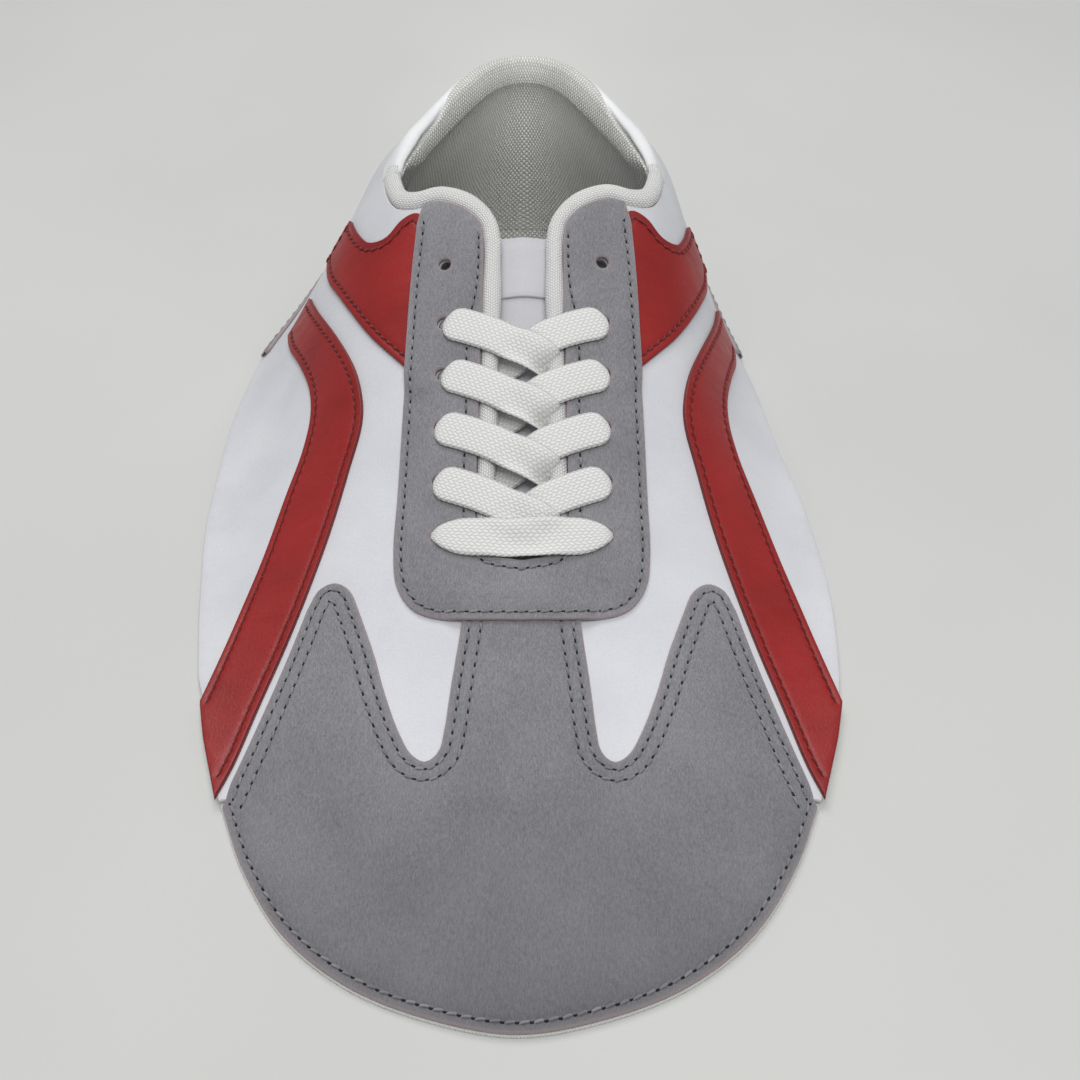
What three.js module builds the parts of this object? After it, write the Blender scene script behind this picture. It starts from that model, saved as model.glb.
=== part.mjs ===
// Stitched upper of a bowling shoe, right foot, before it is pulled over a last.
// Millimetres, +Z up, toe towards -Y, lateral side at -X. The toe lies flat and the heel stands up.
//
// Every leather, fabric and foam piece is drawn flat, as a pattern: x is the distance across the
// sheet from its centre line (negative on the lateral side) and v is the run back from the toe.
// place(x, v, h) bends the pattern round the foot, h above the inner face of the lining.
import * as THREE from 'three';

// ---- overall size: the pattern is drawn at these sizes and graded to the ones asked for ----
const DRAWN_LENGTH = 284;
const DRAWN_WIDTH = 166;
const DRAWN_HEIGHT = 72;
const UPPER_LENGTH = 284;
const UPPER_WIDTH = 166;
const UPPER_HEIGHT = 72;

// ---- material thicknesses and clearances ----
const GAP = 0.35;              // air left between touching layers
const LINING_T = 0.8;
const LEATHER_T = 1.2;         // white base leather
const SUEDE_T = 1.2;           // every overlay
const STAY_T = 0.6;            // eyelet reinforcement tape
const COUNTER_T = 0.8;         // heel stiffener
const FOAM_T = 5;              // collar padding at the topline
const FOAM_DEPTH = 31;         // how far the collar padding reaches down
const TONGUE_FOAM_T = 4;
const TONGUE_SKIN_T = 1;
const THREAD_T = 0.4;
const THREAD_GAP = 0.3;        // air under a row of sewing
const BINDING_R = 2;
const LACE_W = 8;
const LACE_T = 1;
const EYELET_D = 4.8;
const LINING_HOLE = 1.8;       // eyelet holes are this much wider in the lining
const STITCH_INSET = 2;        // seam row from a cut edge
const DOUBLE_ROW = 2.8;        // between the two rows of a double seam
const OVERLAP = 6;             // how far one leather piece runs under the next
const RIDE = 5;                // run over which a piece climbs onto the piece under it

// ---- places along the foot ----
const THROAT_V = 112;          // bottom of the lacing throat
const EYELET_X = 21.2;
const FIRST_EYELET_V = 119.5;
const EYELET_PITCH = 14.6;
const LACED_ROWS = 5;
const TOP_EYELET_V = 194.5;    // the pair left unlaced
const COLLAR_V = 228;          // front corner of the padded collar
const SIDE_END_V = 240;        // where the sides start to turn round the heel
const BACK_V = 320;            // centre line of the heel
const FLAT_V = 26;             // the toe lies flat up to here
const TOLERANCE = 0.34;        // facets stay this close to the bent sheet
const LONGEST_EDGE = 26;

// ---- layer heights above the inner face of the lining ----
const BASE_H = LINING_T + GAP;
const BASE_TOP = BASE_H + LEATHER_T;
const OVER_H = BASE_TOP + GAP;
const OVER_TOP = OVER_H + SUEDE_T;
const RIDE_H = SUEDE_T + 1.6 * GAP;
const STAY_DROP = STAY_T + 1.5 * GAP;
const COUNTER_DROP = COUNTER_T + GAP;
const LACE_OVER = OVER_TOP + THREAD_GAP + THREAD_T + GAP + LACE_T / 2;
const LACE_UNDER = -STAY_DROP - GAP - LACE_T / 2;
const TONGUE_TOP = LACE_UNDER - LACE_T / 2 - GAP;

// ---- small helpers ----
const clamp = (value, low, high) => Math.min(high, Math.max(low, value));
const smooth = (t) => {
  const s = clamp(t, 0, 1);
  return s * s * (3 - 2 * s);
};
const ramp = (value, from, to) => smooth((value - from) / (to - from));
const range = (count) => [...Array(count).keys()];
const mirror = (points) => points.map(([x, v]) => [-x, v]).reverse();

// ---- the shape of the upper: cross sections along the foot ----
// v, crown height, shoulder half width, shoulder height, lateral and medial half width on the
// table, how steep the wall starts and ends compared with its own slope
const STATIONS = [
  [0, 0, 26, 0, 64, 64, 0.5, 0.45],
  [FLAT_V, 0, 29, 0, 68, 67, 0.5, 0.45],
  [55, 3, 32, 2.2, 73, 72, 0.5, 0.45],
  [85, 9, 35, 7, 79, 78, 0.5, 0.45],
  [115, 17, 36, 13.5, 84, 80, 0.5, 0.45],
  [145, 29, 36, 23, 87, 78, 0.5, 0.5],
  [173, 41, 36, 33, 87, 73, 0.5, 0.6],
  [200, 52, 37, 45, 84.5, 69, 0.6, 0.8],
  [222, 60.5, 37.5, 56.5, 79, 64.5, 0.8, 0.9],
  [SIDE_END_V, 64.5, 34.8, 61, 71, 60, 0.85, 0.97],
];
const HEEL = { crown: 73, reach: 35, top: 69, foot: 41, start: 0.82, end: 1.0 };
const HEEL_TAPER = 0.17;       // how much straighter than an ellipse the sides run into the heel
const GRADE = [UPPER_WIDTH / DRAWN_WIDTH, UPPER_LENGTH / DRAWN_LENGTH, UPPER_HEIGHT / DRAWN_HEIGHT];

function station(column, v) {
  const last = STATIONS.length - 1;
  const i = clamp(STATIONS.findIndex((row) => row[0] > v) - 1, v >= SIDE_END_V ? last - 1 : 0, last - 1);
  const slope = (k) => (STATIONS[k + 1][column] - STATIONS[k][column]) / (STATIONS[k + 1][0] - STATIONS[k][0]);
  const knot = (k) => {
    if (k === 0) return slope(0);
    if (k === last) return slope(last - 1);
    const before = slope(k - 1);
    const after = slope(k);
    return before * after <= 0 ? 0 : (2 * before * after) / (before + after);
  };
  const step = STATIONS[i + 1][0] - STATIONS[i][0];
  const t = clamp((v - STATIONS[i][0]) / step, 0, 1);
  const rise = STATIONS[i][column] * (1 + 2 * t) * (1 - t) ** 2 + STATIONS[i + 1][column] * t * t * (3 - 2 * t);
  return rise + step * (knot(i) * t * (1 - t) ** 2 + knot(i + 1) * t * t * (t - 1));
}

// one cubic arc from a to b that leaves and arrives at the given angles below the horizontal
function arc(a, b, leave, arrive) {
  const reach = Math.hypot(b[0] - a[0], b[1] - a[1]);
  const points = range(17).map((k) => {
    const t = k / 16;
    const wa = (1 + 2 * t) * (1 - t) ** 2;
    const wb = t * t * (3 - 2 * t);
    const wl = reach * t * (1 - t) ** 2;
    const wr = reach * t * t * (t - 1);
    const across = wa * a[0] + wb * b[0] + wl * Math.cos(leave) + wr * Math.cos(arrive);
    const up = wa * a[1] + wb * b[1] - wl * Math.sin(leave) - wr * Math.sin(arrive);
    return [across, up];
  });
  const lengths = [0];
  for (let k = 1; k < points.length; k += 1) {
    const stepLength = Math.hypot(points[k][0] - points[k - 1][0], points[k][1] - points[k - 1][1]);
    lengths.push(lengths[k - 1] + stepLength);
  }
  return { points, lengths, total: lengths.at(-1), end: [Math.cos(arrive), -Math.sin(arrive)] };
}

function along(curveArc, distance) {
  const { points, lengths, total, end } = curveArc;
  if (distance > total) {
    return [points.at(-1)[0] + end[0] * (distance - total), points.at(-1)[1] + end[1] * (distance - total)];
  }
  let k = 1;
  while (k < lengths.length - 1 && lengths[k] < distance) k += 1;
  const t = (distance - lengths[k - 1]) / (lengths[k] - lengths[k - 1]);
  return [0, 1].map((axis) => points[k - 1][axis] + t * (points[k][axis] - points[k - 1][axis]));
}

function section(crown, shoulder, shoulderHeight, foot, start, end) {
  const topSlope = Math.atan2(crown - shoulderHeight, shoulder);
  const wallSlope = Math.atan2(shoulderHeight, foot - shoulder);
  const turn = topSlope + start * (wallSlope - topSlope);
  return {
    crownArc: arc([0, crown], [shoulder, shoulderHeight], 0, turn),
    wallArc: arc([shoulder, shoulderHeight], [foot, 0], turn, end * wallSlope),
  };
}

const sectionCache = new Map();
function sideSection(v, side) {
  const at = Math.min(v, SIDE_END_V);
  const key = `${at.toFixed(4)} ${side}`;
  if (!sectionCache.has(key)) {
    const foot = station(side < 0 ? 4 : 5, at);
    const values = [1, 2, 3].map((column) => station(column, at));
    sectionCache.set(key, section(...values, foot, station(6, at), station(7, at)));
  }
  return sectionCache.get(key);
}
const backSection = section(HEEL.crown, HEEL.reach, HEEL.top, HEEL.foot, HEEL.start, HEEL.end);

// past BACK_V the pattern carries on round the heel to the medial side
const fold = (x, v) => (v > BACK_V ? [-x, 2 * BACK_V - v] : [x, v]);
const sideOf = (v) => (v > BACK_V ? 1 : -1);
const foldV = (v) => (v > BACK_V ? 2 * BACK_V - v : v);

// round the heel both sides of the pattern grow into the same back width
function sheetWidth(arcName, v, side) {
  const turned = clamp((v - SIDE_END_V) / (BACK_V - SIDE_END_V), 0, 1);
  const here = sideSection(v, side)[arcName].total;
  return here + turned * (backSection[arcName].total - here);
}
const topline = (v, side = sideOf(v)) => sheetWidth('crownArc', foldV(v), side);
const lastingEdge = (v, side = sideOf(v)) => topline(v, side) + sheetWidth('wallArc', foldV(v), side);

function bent(xIn, vIn) {
  const [x, v] = fold(xIn, vIn);
  const side = x < 0 ? -1 : 1;
  const { crownArc, wallArc } = sideSection(v, side);
  const across = Math.abs(x);
  const crownWidth = sheetWidth('crownArc', v, side);
  const onWall = across > crownWidth;
  const share = onWall ? (across - crownWidth) / sheetWidth('wallArc', v, side) : across / crownWidth;
  const sideArc = onWall ? wallArc : crownArc;
  const here = along(sideArc, share * sideArc.total);
  if (v <= SIDE_END_V) return new THREE.Vector3(side * here[0], v, here[1]);
  const backArc = onWall ? backSection.wallArc : backSection.crownArc;
  const back = along(backArc, share * backArc.total);
  const turn = ((v - SIDE_END_V) / (BACK_V - SIDE_END_V)) * (Math.PI / 2);
  const c = Math.cos(turn);
  const s = Math.sin(turn);
  const narrow = c * (1 - HEEL_TAPER * Math.sin(2 * turn));
  return new THREE.Vector3(side * here[0] * narrow, SIDE_END_V + back[0] * s, here[1] * c * c + back[1] * s * s);
}

function graded(x, v) {
  const p = bent(x, v);
  return new THREE.Vector3(p.x * GRADE[0], p.y * GRADE[1], p.z * GRADE[2]);
}

function frameAt(x, v) {
  const e = 0.4;
  const across = graded(x + e, v).sub(graded(x - e, v)).normalize();
  const back = graded(x, v + e).sub(graded(x, v - e)).normalize();
  return { origin: graded(x, v), across, back, normal: across.clone().cross(back).normalize() };
}

function place(x, v, h) {
  const { origin, normal } = frameAt(x, v);
  return origin.addScaledVector(normal, h);
}

// ---- flat drawing ----
function curve(points, spacing = 5) {
  const knots = points.map(([x, v]) => new THREE.Vector3(x, v, 0));
  const spline = new THREE.CatmullRomCurve3(knots, false, 'centripetal');
  const count = Math.max(2, Math.round(spline.getLength() / spacing));
  return spline.getSpacedPoints(count).map((p) => [p.x, p.y]);
}

const circle = ([x, v], radius) => range(8).map((k) => {
  const angle = (Math.PI * k) / 4;
  return [x + radius * Math.cos(angle), v + radius * Math.sin(angle)];
});

const alongV = (from, to, xAt, spacing = 6) => {
  const count = Math.max(1, Math.round(Math.abs(to - from) / spacing));
  return range(count + 1).map((k) => {
    const v = from + ((to - from) * k) / count;
    return [xAt(v), v];
  });
};

// a copy of a path moved to its left by distance
function shift(path, distance) {
  return path.map((point, k) => {
    const a = path[Math.max(0, k - 1)];
    const b = path[Math.min(path.length - 1, k + 1)];
    const length = Math.hypot(b[0] - a[0], b[1] - a[1]);
    return [point[0] - (distance * (b[1] - a[1])) / length, point[1] + (distance * (b[0] - a[0])) / length];
  });
}

function distanceTo(outline, [x, v]) {
  let nearest = Infinity;
  let inside = false;
  outline.forEach(([ax, av], k) => {
    const [bx, bv] = outline[(k + 1) % outline.length];
    const length2 = (bx - ax) ** 2 + (bv - av) ** 2;
    const t = clamp(((x - ax) * (bx - ax) + (v - av) * (bv - av)) / length2, 0, 1);
    nearest = Math.min(nearest, Math.hypot(x - ax - t * (bx - ax), v - av - t * (bv - av)));
    if (av > v !== bv > v && x < ax + ((v - av) * (bx - ax)) / (bv - av)) inside = !inside;
  });
  return inside ? 0 : nearest;
}

// ---- flat triangles, refined until they follow the bent surface ----
const edgeKey = (a, b) => (a < b ? `${a} ${b}` : `${b} ${a}`);
const EDGES = [[0, 1, 2], [1, 2, 0], [2, 0, 1]];

function insideCircle(a, b, c, d) {
  const rows = [a, b, c].map((p) => [p[0] - d[0], p[1] - d[1]]);
  const [m, n, o] = rows.map(([i, j]) => [i, j, i * i + j * j]);
  const [p, q, r] = [n[1] * o[2] - n[2] * o[1], n[0] * o[2] - n[2] * o[0], n[0] * o[1] - n[1] * o[0]];
  return m[0] * p - m[1] * q + m[2] * r;
}

const twiceArea = (a, b, c) => (b[0] - a[0]) * (c[1] - a[1]) - (b[1] - a[1]) * (c[0] - a[0]);

function evenOut(points, triangles) {
  for (let pass = 0; pass < 12; pass += 1) {
    const owner = new Map();
    const touched = new Set();
    let flips = 0;
    triangles.forEach((triangle, index) => {
      EDGES.forEach(([i, j, k]) => {
        const key = edgeKey(triangle[i], triangle[j]);
        const other = owner.get(key);
        owner.set(key, other === undefined ? index : other);
        if (other === undefined || touched.has(index) || touched.has(other)) return;
        const [a, b, c] = [triangle[i], triangle[j], triangle[k]];
        const d = triangles[other].find((corner) => corner !== a && corner !== b);
        if (insideCircle(points[a], points[b], points[c], points[d]) < 1e-6) return;
        if (twiceArea(points[a], points[d], points[c]) < 1e-3) return;
        if (twiceArea(points[d], points[b], points[c]) < 1e-3) return;
        triangles[index] = [a, d, c];
        triangles[other] = [d, b, c];
        touched.add(index);
        touched.add(other);
        flips += 1;
      });
    });
    if (flips === 0) return;
  }
}

function refine(points, triangles, tooCoarse) {
  let current = triangles;
  for (let round = 0; round < 9; round += 1) {
    evenOut(points, current);
    const middle = new Map();
    let splits = 0;
    const middleOf = (a, b) => {
      const key = edgeKey(a, b);
      if (!middle.has(key)) {
        const halfway = [(points[a][0] + points[b][0]) / 2, (points[a][1] + points[b][1]) / 2];
        const split = tooCoarse(points[a], points[b], halfway);
        middle.set(key, split ? points.push(halfway) - 1 : -1);
        splits += split ? 1 : 0;
      }
      return middle.get(key);
    };
    const next = [];
    current.forEach(([a, b, c]) => {
      const cuts = [middleOf(a, b), middleOf(b, c), middleOf(c, a)];
      const loop = [a, cuts[0], b, cuts[1], c, cuts[2]].filter((corner) => corner >= 0);
      if (loop.length === 6) {
        next.push([a, cuts[0], cuts[2]], [cuts[0], b, cuts[1]], [cuts[2], cuts[1], c], cuts);
      } else if (loop.length === 5) {
        const whole = [a, b, c].find((corner, k) => cuts[k] >= 0 && cuts[(k + 2) % 3] >= 0);
        const start = loop.indexOf(whole);
        const turned = range(5).map((k) => loop[(start + k) % 5]);
        next.push([turned[4], turned[0], turned[1]], [turned[1], turned[2], turned[4]]);
        next.push([turned[2], turned[3], turned[4]]);
      } else if (loop.length === 4) {
        const start = loop.findIndex((corner) => cuts.includes(corner));
        const turned = range(4).map((k) => loop[(start + k) % 4]);
        next.push([turned[0], turned[1], turned[2]], [turned[0], turned[2], turned[3]]);
      } else {
        next.push([a, b, c]);
      }
    });
    current = next;
    if (splits === 0) break;
  }
  return current;
}

// ---- solids ----
function solid(positions, faces) {
  const geometry = new THREE.BufferGeometry();
  const flat = positions.flatMap((p) => [p.x, p.y, p.z]);
  geometry.setAttribute('position', new THREE.Float32BufferAttribute(flat, 3));
  geometry.setIndex(faces.flat());
  geometry.computeVertexNormals();
  return geometry;
}

// a sheet cut to an outline, between the heights low(x, v) and high(x, v)
function sheet(outline, low, high, holes = []) {
  const toVectors = (points) => points.map(([x, v]) => new THREE.Vector2(x, v));
  const ring = THREE.ShapeUtils.isClockWise(toVectors(outline)) ? [...outline].reverse() : [...outline];
  const rings = holes.map((hole) => (THREE.ShapeUtils.isClockWise(toVectors(hole)) ? hole : [...hole].reverse()));
  const points = [ring, ...rings].flat().map((p) => [...p]);
  const start = THREE.ShapeUtils.triangulateShape(toVectors(ring), rings.map(toVectors));
  const bend = (point, height) => place(point[0], point[1], height(point[0], point[1]));
  const tooCoarse = (a, b, halfway) => {
    if (Math.hypot(a[0] - b[0], a[1] - b[1]) > LONGEST_EDGE) return true;
    return [low, high].some((height) => {
      const chord = bend(a, height).add(bend(b, height)).multiplyScalar(0.5);
      return chord.distanceTo(bend(halfway, height)) > TOLERANCE;
    });
  };
  const triangles = refine(points, start, tooCoarse);
  const count = points.length;
  const positions = [...points.map((p) => bend(p, high)), ...points.map((p) => bend(p, low))];
  const faces = [];
  const open = new Map();
  triangles.forEach(([a, b, c]) => {
    faces.push([a, b, c], [c + count, b + count, a + count]);
    [[a, b], [b, c], [c, a]].forEach(([from, to]) => {
      if (open.has(`${to} ${from}`)) open.delete(`${to} ${from}`);
      else open.set(`${from} ${to}`, [from, to]);
    });
  });
  open.forEach(([from, to]) => {
    faces.push([from, from + count, to], [to, from + count, to + count]);
  });
  return solid(positions, faces);
}

// rings of points joined into a closed skin; each ring has the same number of points
function skin(rings) {
  const size = rings[0].length;
  const faces = [];
  range(rings.length - 1).forEach((r) => {
    const here = r * size;
    const there = here + size;
    range(size).forEach((k) => {
      const n = (k + 1) % size;
      faces.push([here + k, here + n, there + n], [here + k, there + n, there + k]);
    });
  });
  const end = (rings.length - 1) * size;
  capTriangles(rings[0]).forEach(([a, b, c]) => faces.push([c, b, a], [end + a, end + b, end + c]));
  return solid(rings.flat(), faces);
}

// triangles across one ring, seen in the plane of the ring
function capTriangles(ring) {
  const centre = ring.reduce((sum, p) => sum.add(p), new THREE.Vector3()).divideScalar(ring.length);
  const normal = new THREE.Vector3();
  ring.forEach((p, k) => {
    const q = ring[(k + 1) % ring.length];
    normal.add(p.clone().sub(centre).cross(q.clone().sub(centre)));
  });
  normal.normalize();
  const u = ring[0].clone().sub(centre).normalize();
  const w = normal.clone().cross(u);
  const flat = ring.map((p) => {
    const offset = p.clone().sub(centre);
    return new THREE.Vector2(offset.dot(u), offset.dot(w));
  });
  return THREE.ShapeUtils.triangulateShape(flat, []);
}

// a path thinned out where the bent sheet is nearly straight
function thin(path, height) {
  const kept = [0];
  const at = (k) => place(path[k][0], path[k][1], height(path[k][0], path[k][1]));
  for (let k = 2; k < path.length; k += 1) {
    const from = kept.at(-1);
    const a = at(from);
    const chord = at(k).sub(a);
    const off = range(k - from - 1).some((n) => {
      const offset = at(from + 1 + n).sub(a);
      offset.addScaledVector(chord, -offset.dot(chord) / chord.lengthSq());
      return offset.length() > TOLERANCE / 2;
    });
    if (off || chord.length() > LONGEST_EDGE) kept.push(k - 1);
  }
  kept.push(path.length - 1);
  return kept.map((k) => path[k]);
}

// a profile of [across, up] points carried along a path on the sheet
function sweep(path, profile, height = () => 0) {
  const left = shift(path, 1);
  const clockwise = THREE.ShapeUtils.isClockWise(profile.map(([a, b]) => new THREE.Vector2(a, b)));
  const outline = clockwise ? [...profile].reverse() : profile;
  const rings = path.map(([x, v], k) => {
    const across = [left[k][0] - x, left[k][1] - v];
    return outline.map(([a, b]) => place(x + a * across[0], v + a * across[1], height(x, v) + b));
  });
  return skin(rings);
}

const THREAD_PROFILE = [[-THREAD_T, 0], [THREAD_T, 0], [0, THREAD_T]];
function thread(path, height) {
  const above = (x, v) => height(x, v) + THREAD_GAP;
  return sweep(thin(path, above), THREAD_PROFILE, above);
}

// ---- outlines, medial side: the lateral side is its mirror image ----
const TOE_ARC = curve([[0, 0], [16, 2.6], [34, 9.4], [49, 20.6], [60, 36], [67, 51]]);
const WING_OUTER = curve([[67, 51], [62, 70], [56.2, 91.5], [53.2, 103]], 9);
const WING_TIP = curve([[53.2, 103], [50.5, 108.4], [46.5, 109.6], [42.6, 107], [39.6, 100.5]], 3.5);
const NOTCH = curve([
  [39.6, 100.5], [35.2, 88.7], [31.8, 78], [27.6, 67.5], [24.6, 62.4], [21.4, 60.6], [18.6, 63], [17.2, 70],
], 4.5);
const PRONG_SIDE = curve([[17.2, 70], [16.2, 80], [14.6, 93], [13.8, 101.5]], 9);
const WING_EDGE = [...WING_OUTER, ...WING_TIP.slice(1), ...NOTCH.slice(1), ...PRONG_SIDE.slice(1)];
const TOE_HALF = [...TOE_ARC, ...WING_EDGE.slice(1)];
const TOE_OUTLINE = [...TOE_HALF, ...mirror(TOE_HALF).slice(0, -1)];

const STAY_OUTER = curve([
  [0, 95.6], [17.8, 96.6], [26, 99.6], [30.6, 106.4], [32, 116],
  [31.8, 132], [31.4, 160], [30.4, 188], [29, 207],
], 5);
const BINDING_PATH = [
  ...curve([[6, 113.5], [8.7, 120], [8.9, 150], [8.5, 184], [8.5, 200]], 8),
  ...curve([
    [8.5, 200], [9.9, 206.5], [14.6, 211.6], [23, 214.8],
    [30, 214.4], [34.6, 216.2], [37.6, 221], [topline(COLLAR_V, 1) + 0.3, COLLAR_V - 2.4],
  ], 3).slice(1),
];
const FACING_EDGE = shift(BINDING_PATH, -(BINDING_R + GAP));
const STAY_TOP_COUNT = FACING_EDGE.findIndex(([x, v]) => v > 205 && x > 27);

const PANEL_OUTLINE = [
  ...curve([[25.6, 205], [29, 210.4], [33.6, 210], [38.4, 207.4], [44.6, 209], [50.6, 215], [57.5, 225]], 4),
  ...curve([[70, 221], [64, 210], [56.6, 200.4], [51, 192.6], [40.8, 178.4], [30.4, 166.6], [25.6, 161.4]], 7),
];

const STRIPE_INNER = curve([
  [68.7, 52.6], [66, 61], [62.3, 77], [57.9, 93.4], [53.6, 109.7], [49.6, 126.2], [46.2, 142.6],
  [43.6, 155], [43.9, 162], [47, 172.6], [54.4, 185.6], [68.5, 204], [77, 213.5],
], 7);
const STRIPE_OUTER = curve([
  [86.5, 207.5], [79.6, 197.6], [71.5, 187.4], [64.8, 176], [62.2, 166], [62.6, 155],
  [65.3, 141], [68.4, 123], [72.3, 105], [76, 87], [77.5, 79.6],
], 7);
const STRIPE_OUTLINE = [...STRIPE_OUTER, [74.6, 69.4], ...STRIPE_INNER];

// the lasting margin: the toe arc, its corner, and the edge of the sheet back to the heel
const BASE_INSET = 1.2;         // the leather stops short of the toe overlay's edge
const LINING_OUTSET = 0.8;      // and the lining shows a little beyond it
const MARGIN_CORNER = curve([[69.8, 51], [72.8, 60.5], [75.6, 69.5], [78.6, 80]], 6);
const marginPath = (side, to, inset) => {
  const back = alongV(88, to, (v) => lastingEdge(v, side) - 0.3, 7);
  return [...shift(TOE_ARC, inset).slice(1), ...MARGIN_CORNER, ...back];
};
const SEAM = GAP / 2;
function halfOutline(side) {
  const under = OVERLAP / 2;
  const collar = alongV(COLLAR_V + 0.5, BACK_V - SEAM, (v) => topline(v, side) + 1, 6).reverse();
  const throat = [[SEAM, THROAT_V - under], [7.5, THROAT_V - under]];
  const margin = marginPath(side, BACK_V - SEAM, BASE_INSET);
  const facing = [...FACING_EDGE].reverse();
  return [[SEAM, BASE_INSET], ...margin, ...collar, ...facing, ...throat.reverse()];
}

// ---- what lies under what ----
const toeOverlayAt = ([x, v]) => distanceTo(TOE_OUTLINE, [x, v]);
const panelAt = ([x, v]) => distanceTo(PANEL_OUTLINE, [Math.abs(x), v]);
const FOXING_FRONT = 214;
const FOXING_BACK = 2 * BACK_V - FOXING_FRONT;
const foxingHeight = (v) => 3 + 45 * smooth(Math.min(v - FOXING_FRONT, FOXING_BACK - v) / 66);
const FOXING_TOP = alongV(FOXING_FRONT + 0.5, FOXING_BACK - 0.5, (v) => -(lastingEdge(v) - 1 - foxingHeight(v)), 5);
const FOXING_FOOT = alongV(FOXING_FRONT, FOXING_BACK, (v) => -(lastingEdge(v) - 0.4), 7);
const FOXING_OUTLINE = [...FOXING_TOP, ...FOXING_FOOT.reverse()];
const foxingAt = ([x, v]) => distanceTo(FOXING_OUTLINE, x < 0 ? [x, v] : [-x, 2 * BACK_V - v]);
const climb = (distance) => RIDE_H * smooth((RIDE - distance) / (RIDE - 2 * GAP));
const eyestayLift = (x, v) => Math.max(climb(toeOverlayAt([x, v])), climb(panelAt([x, v])));
const bandLift = (x, v) => climb(foxingAt([x, v]));

// how far the lining is pushed inwards by what lies between it and the leather
function liningDrop(x, v) {
  const [fx, fv] = fold(x, v);
  const across = Math.abs(fx);
  const below = across - topline(fv, fx < 0 ? -1 : 1);
  const foam = FOAM_T * smooth(1 - below / FOAM_DEPTH) * ramp(fv, 212, COLLAR_V);
  const counter = COUNTER_DROP * ramp(fv, 222, 234);
  const facing = STAY_DROP * ramp(across, 38, 33) * ramp(fv, THROAT_V - 4, THROAT_V) * ramp(fv, 226, 216);
  return Math.max(counter + foam, facing);
}

// ---- the model ----
const upper = new THREE.Group();
const tongue = new THREE.Group();
const model = new THREE.Group();
model.add(upper, tongue);

const WHITE = new THREE.MeshStandardMaterial({ color: 0xe9eaee, roughness: 0.5 });
const GREY = new THREE.MeshStandardMaterial({ color: 0x88868b, roughness: 0.95 });
const RED = new THREE.MeshStandardMaterial({ color: 0x98272b, roughness: 0.45 });
const FABRIC = new THREE.MeshStandardMaterial({ color: 0xc9cac8, roughness: 0.95 });
const LACE = new THREE.MeshStandardMaterial({ color: 0xf0f0f0, roughness: 0.9 });
const FOAM = new THREE.MeshStandardMaterial({ color: 0xe8dfc8, roughness: 0.95 });
const BOARD = new THREE.MeshStandardMaterial({ color: 0xb9a98c, roughness: 0.9 });
const GREY_THREAD = new THREE.MeshStandardMaterial({ color: 0x4a4a4f, roughness: 0.8 });
const RED_THREAD = new THREE.MeshStandardMaterial({ color: 0x6d1519, roughness: 0.8 });
const PLASTIC = new THREE.MeshStandardMaterial({ color: 0xdfe3e6, roughness: 0.3 });

function add(group, name, geometry, material) {
  const mesh = new THREE.Mesh(geometry, material.clone());
  mesh.name = name;
  group.add(mesh);
}

const SIDES = [['lateral', -1], ['medial', 1]];
const level = (height) => () => height;
const sided = (points, side) => (side < 0 ? mirror(points) : points);
const flipX = (points, side) => points.map(([x, v]) => [side * x, v]);
const EYELETS = [...range(LACED_ROWS).map((k) => FIRST_EYELET_V + k * EYELET_PITCH), TOP_EYELET_V];
const eyeletHoles = (side, wider = 0) => {
  return EYELETS.map((v) => circle([side * EYELET_X, v], (EYELET_D + wider) / 2));
};

// white base leather, cut in two halves that meet under the toe overlay and at the back of the heel
SIDES.forEach(([name, side]) => {
  const outline = flipX(halfOutline(side), side);
  add(upper, `${name}_half_upper`, sheet(outline, level(BASE_H), level(BASE_TOP), eyeletHoles(side)), WHITE);
});

// suede and red overlays
add(upper, 'toe_overlay', sheet(TOE_OUTLINE, level(OVER_H), level(OVER_TOP)), GREY);
const stayInner = FACING_EDGE.slice(0, STAY_TOP_COUNT + 1).filter(([, v]) => v > THROAT_V + 3);
const stayHalf = [...STAY_OUTER, ...stayInner.reverse(), [7, THROAT_V + 1.2], [0, THROAT_V]];
const stayOutline = [...stayHalf, ...mirror(stayHalf).slice(1, -1)];
const stayHigh = (x, v) => OVER_TOP + eyestayLift(x, v);
const stayLow = (x, v) => OVER_H + eyestayLift(x, v);
const stayHoles = [...eyeletHoles(-1), ...eyeletHoles(1)];
add(upper, 'eyestay', sheet(stayOutline, stayLow, stayHigh, stayHoles), GREY);
const bandLow = (x, v) => OVER_H + bandLift(x, v);
const bandHigh = (x, v) => OVER_TOP + bandLift(x, v);
SIDES.forEach(([name, side]) => {
  add(upper, `${name}_collar_panel`, sheet(sided(PANEL_OUTLINE, side), bandLow, bandHigh), RED);
  add(upper, `${name}_side_stripe`, sheet(sided(STRIPE_OUTLINE, side), bandLow, bandHigh), RED);
});
add(upper, 'heel_foxing', sheet(FOXING_OUTLINE, level(OVER_H), level(OVER_TOP)), GREY);

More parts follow.
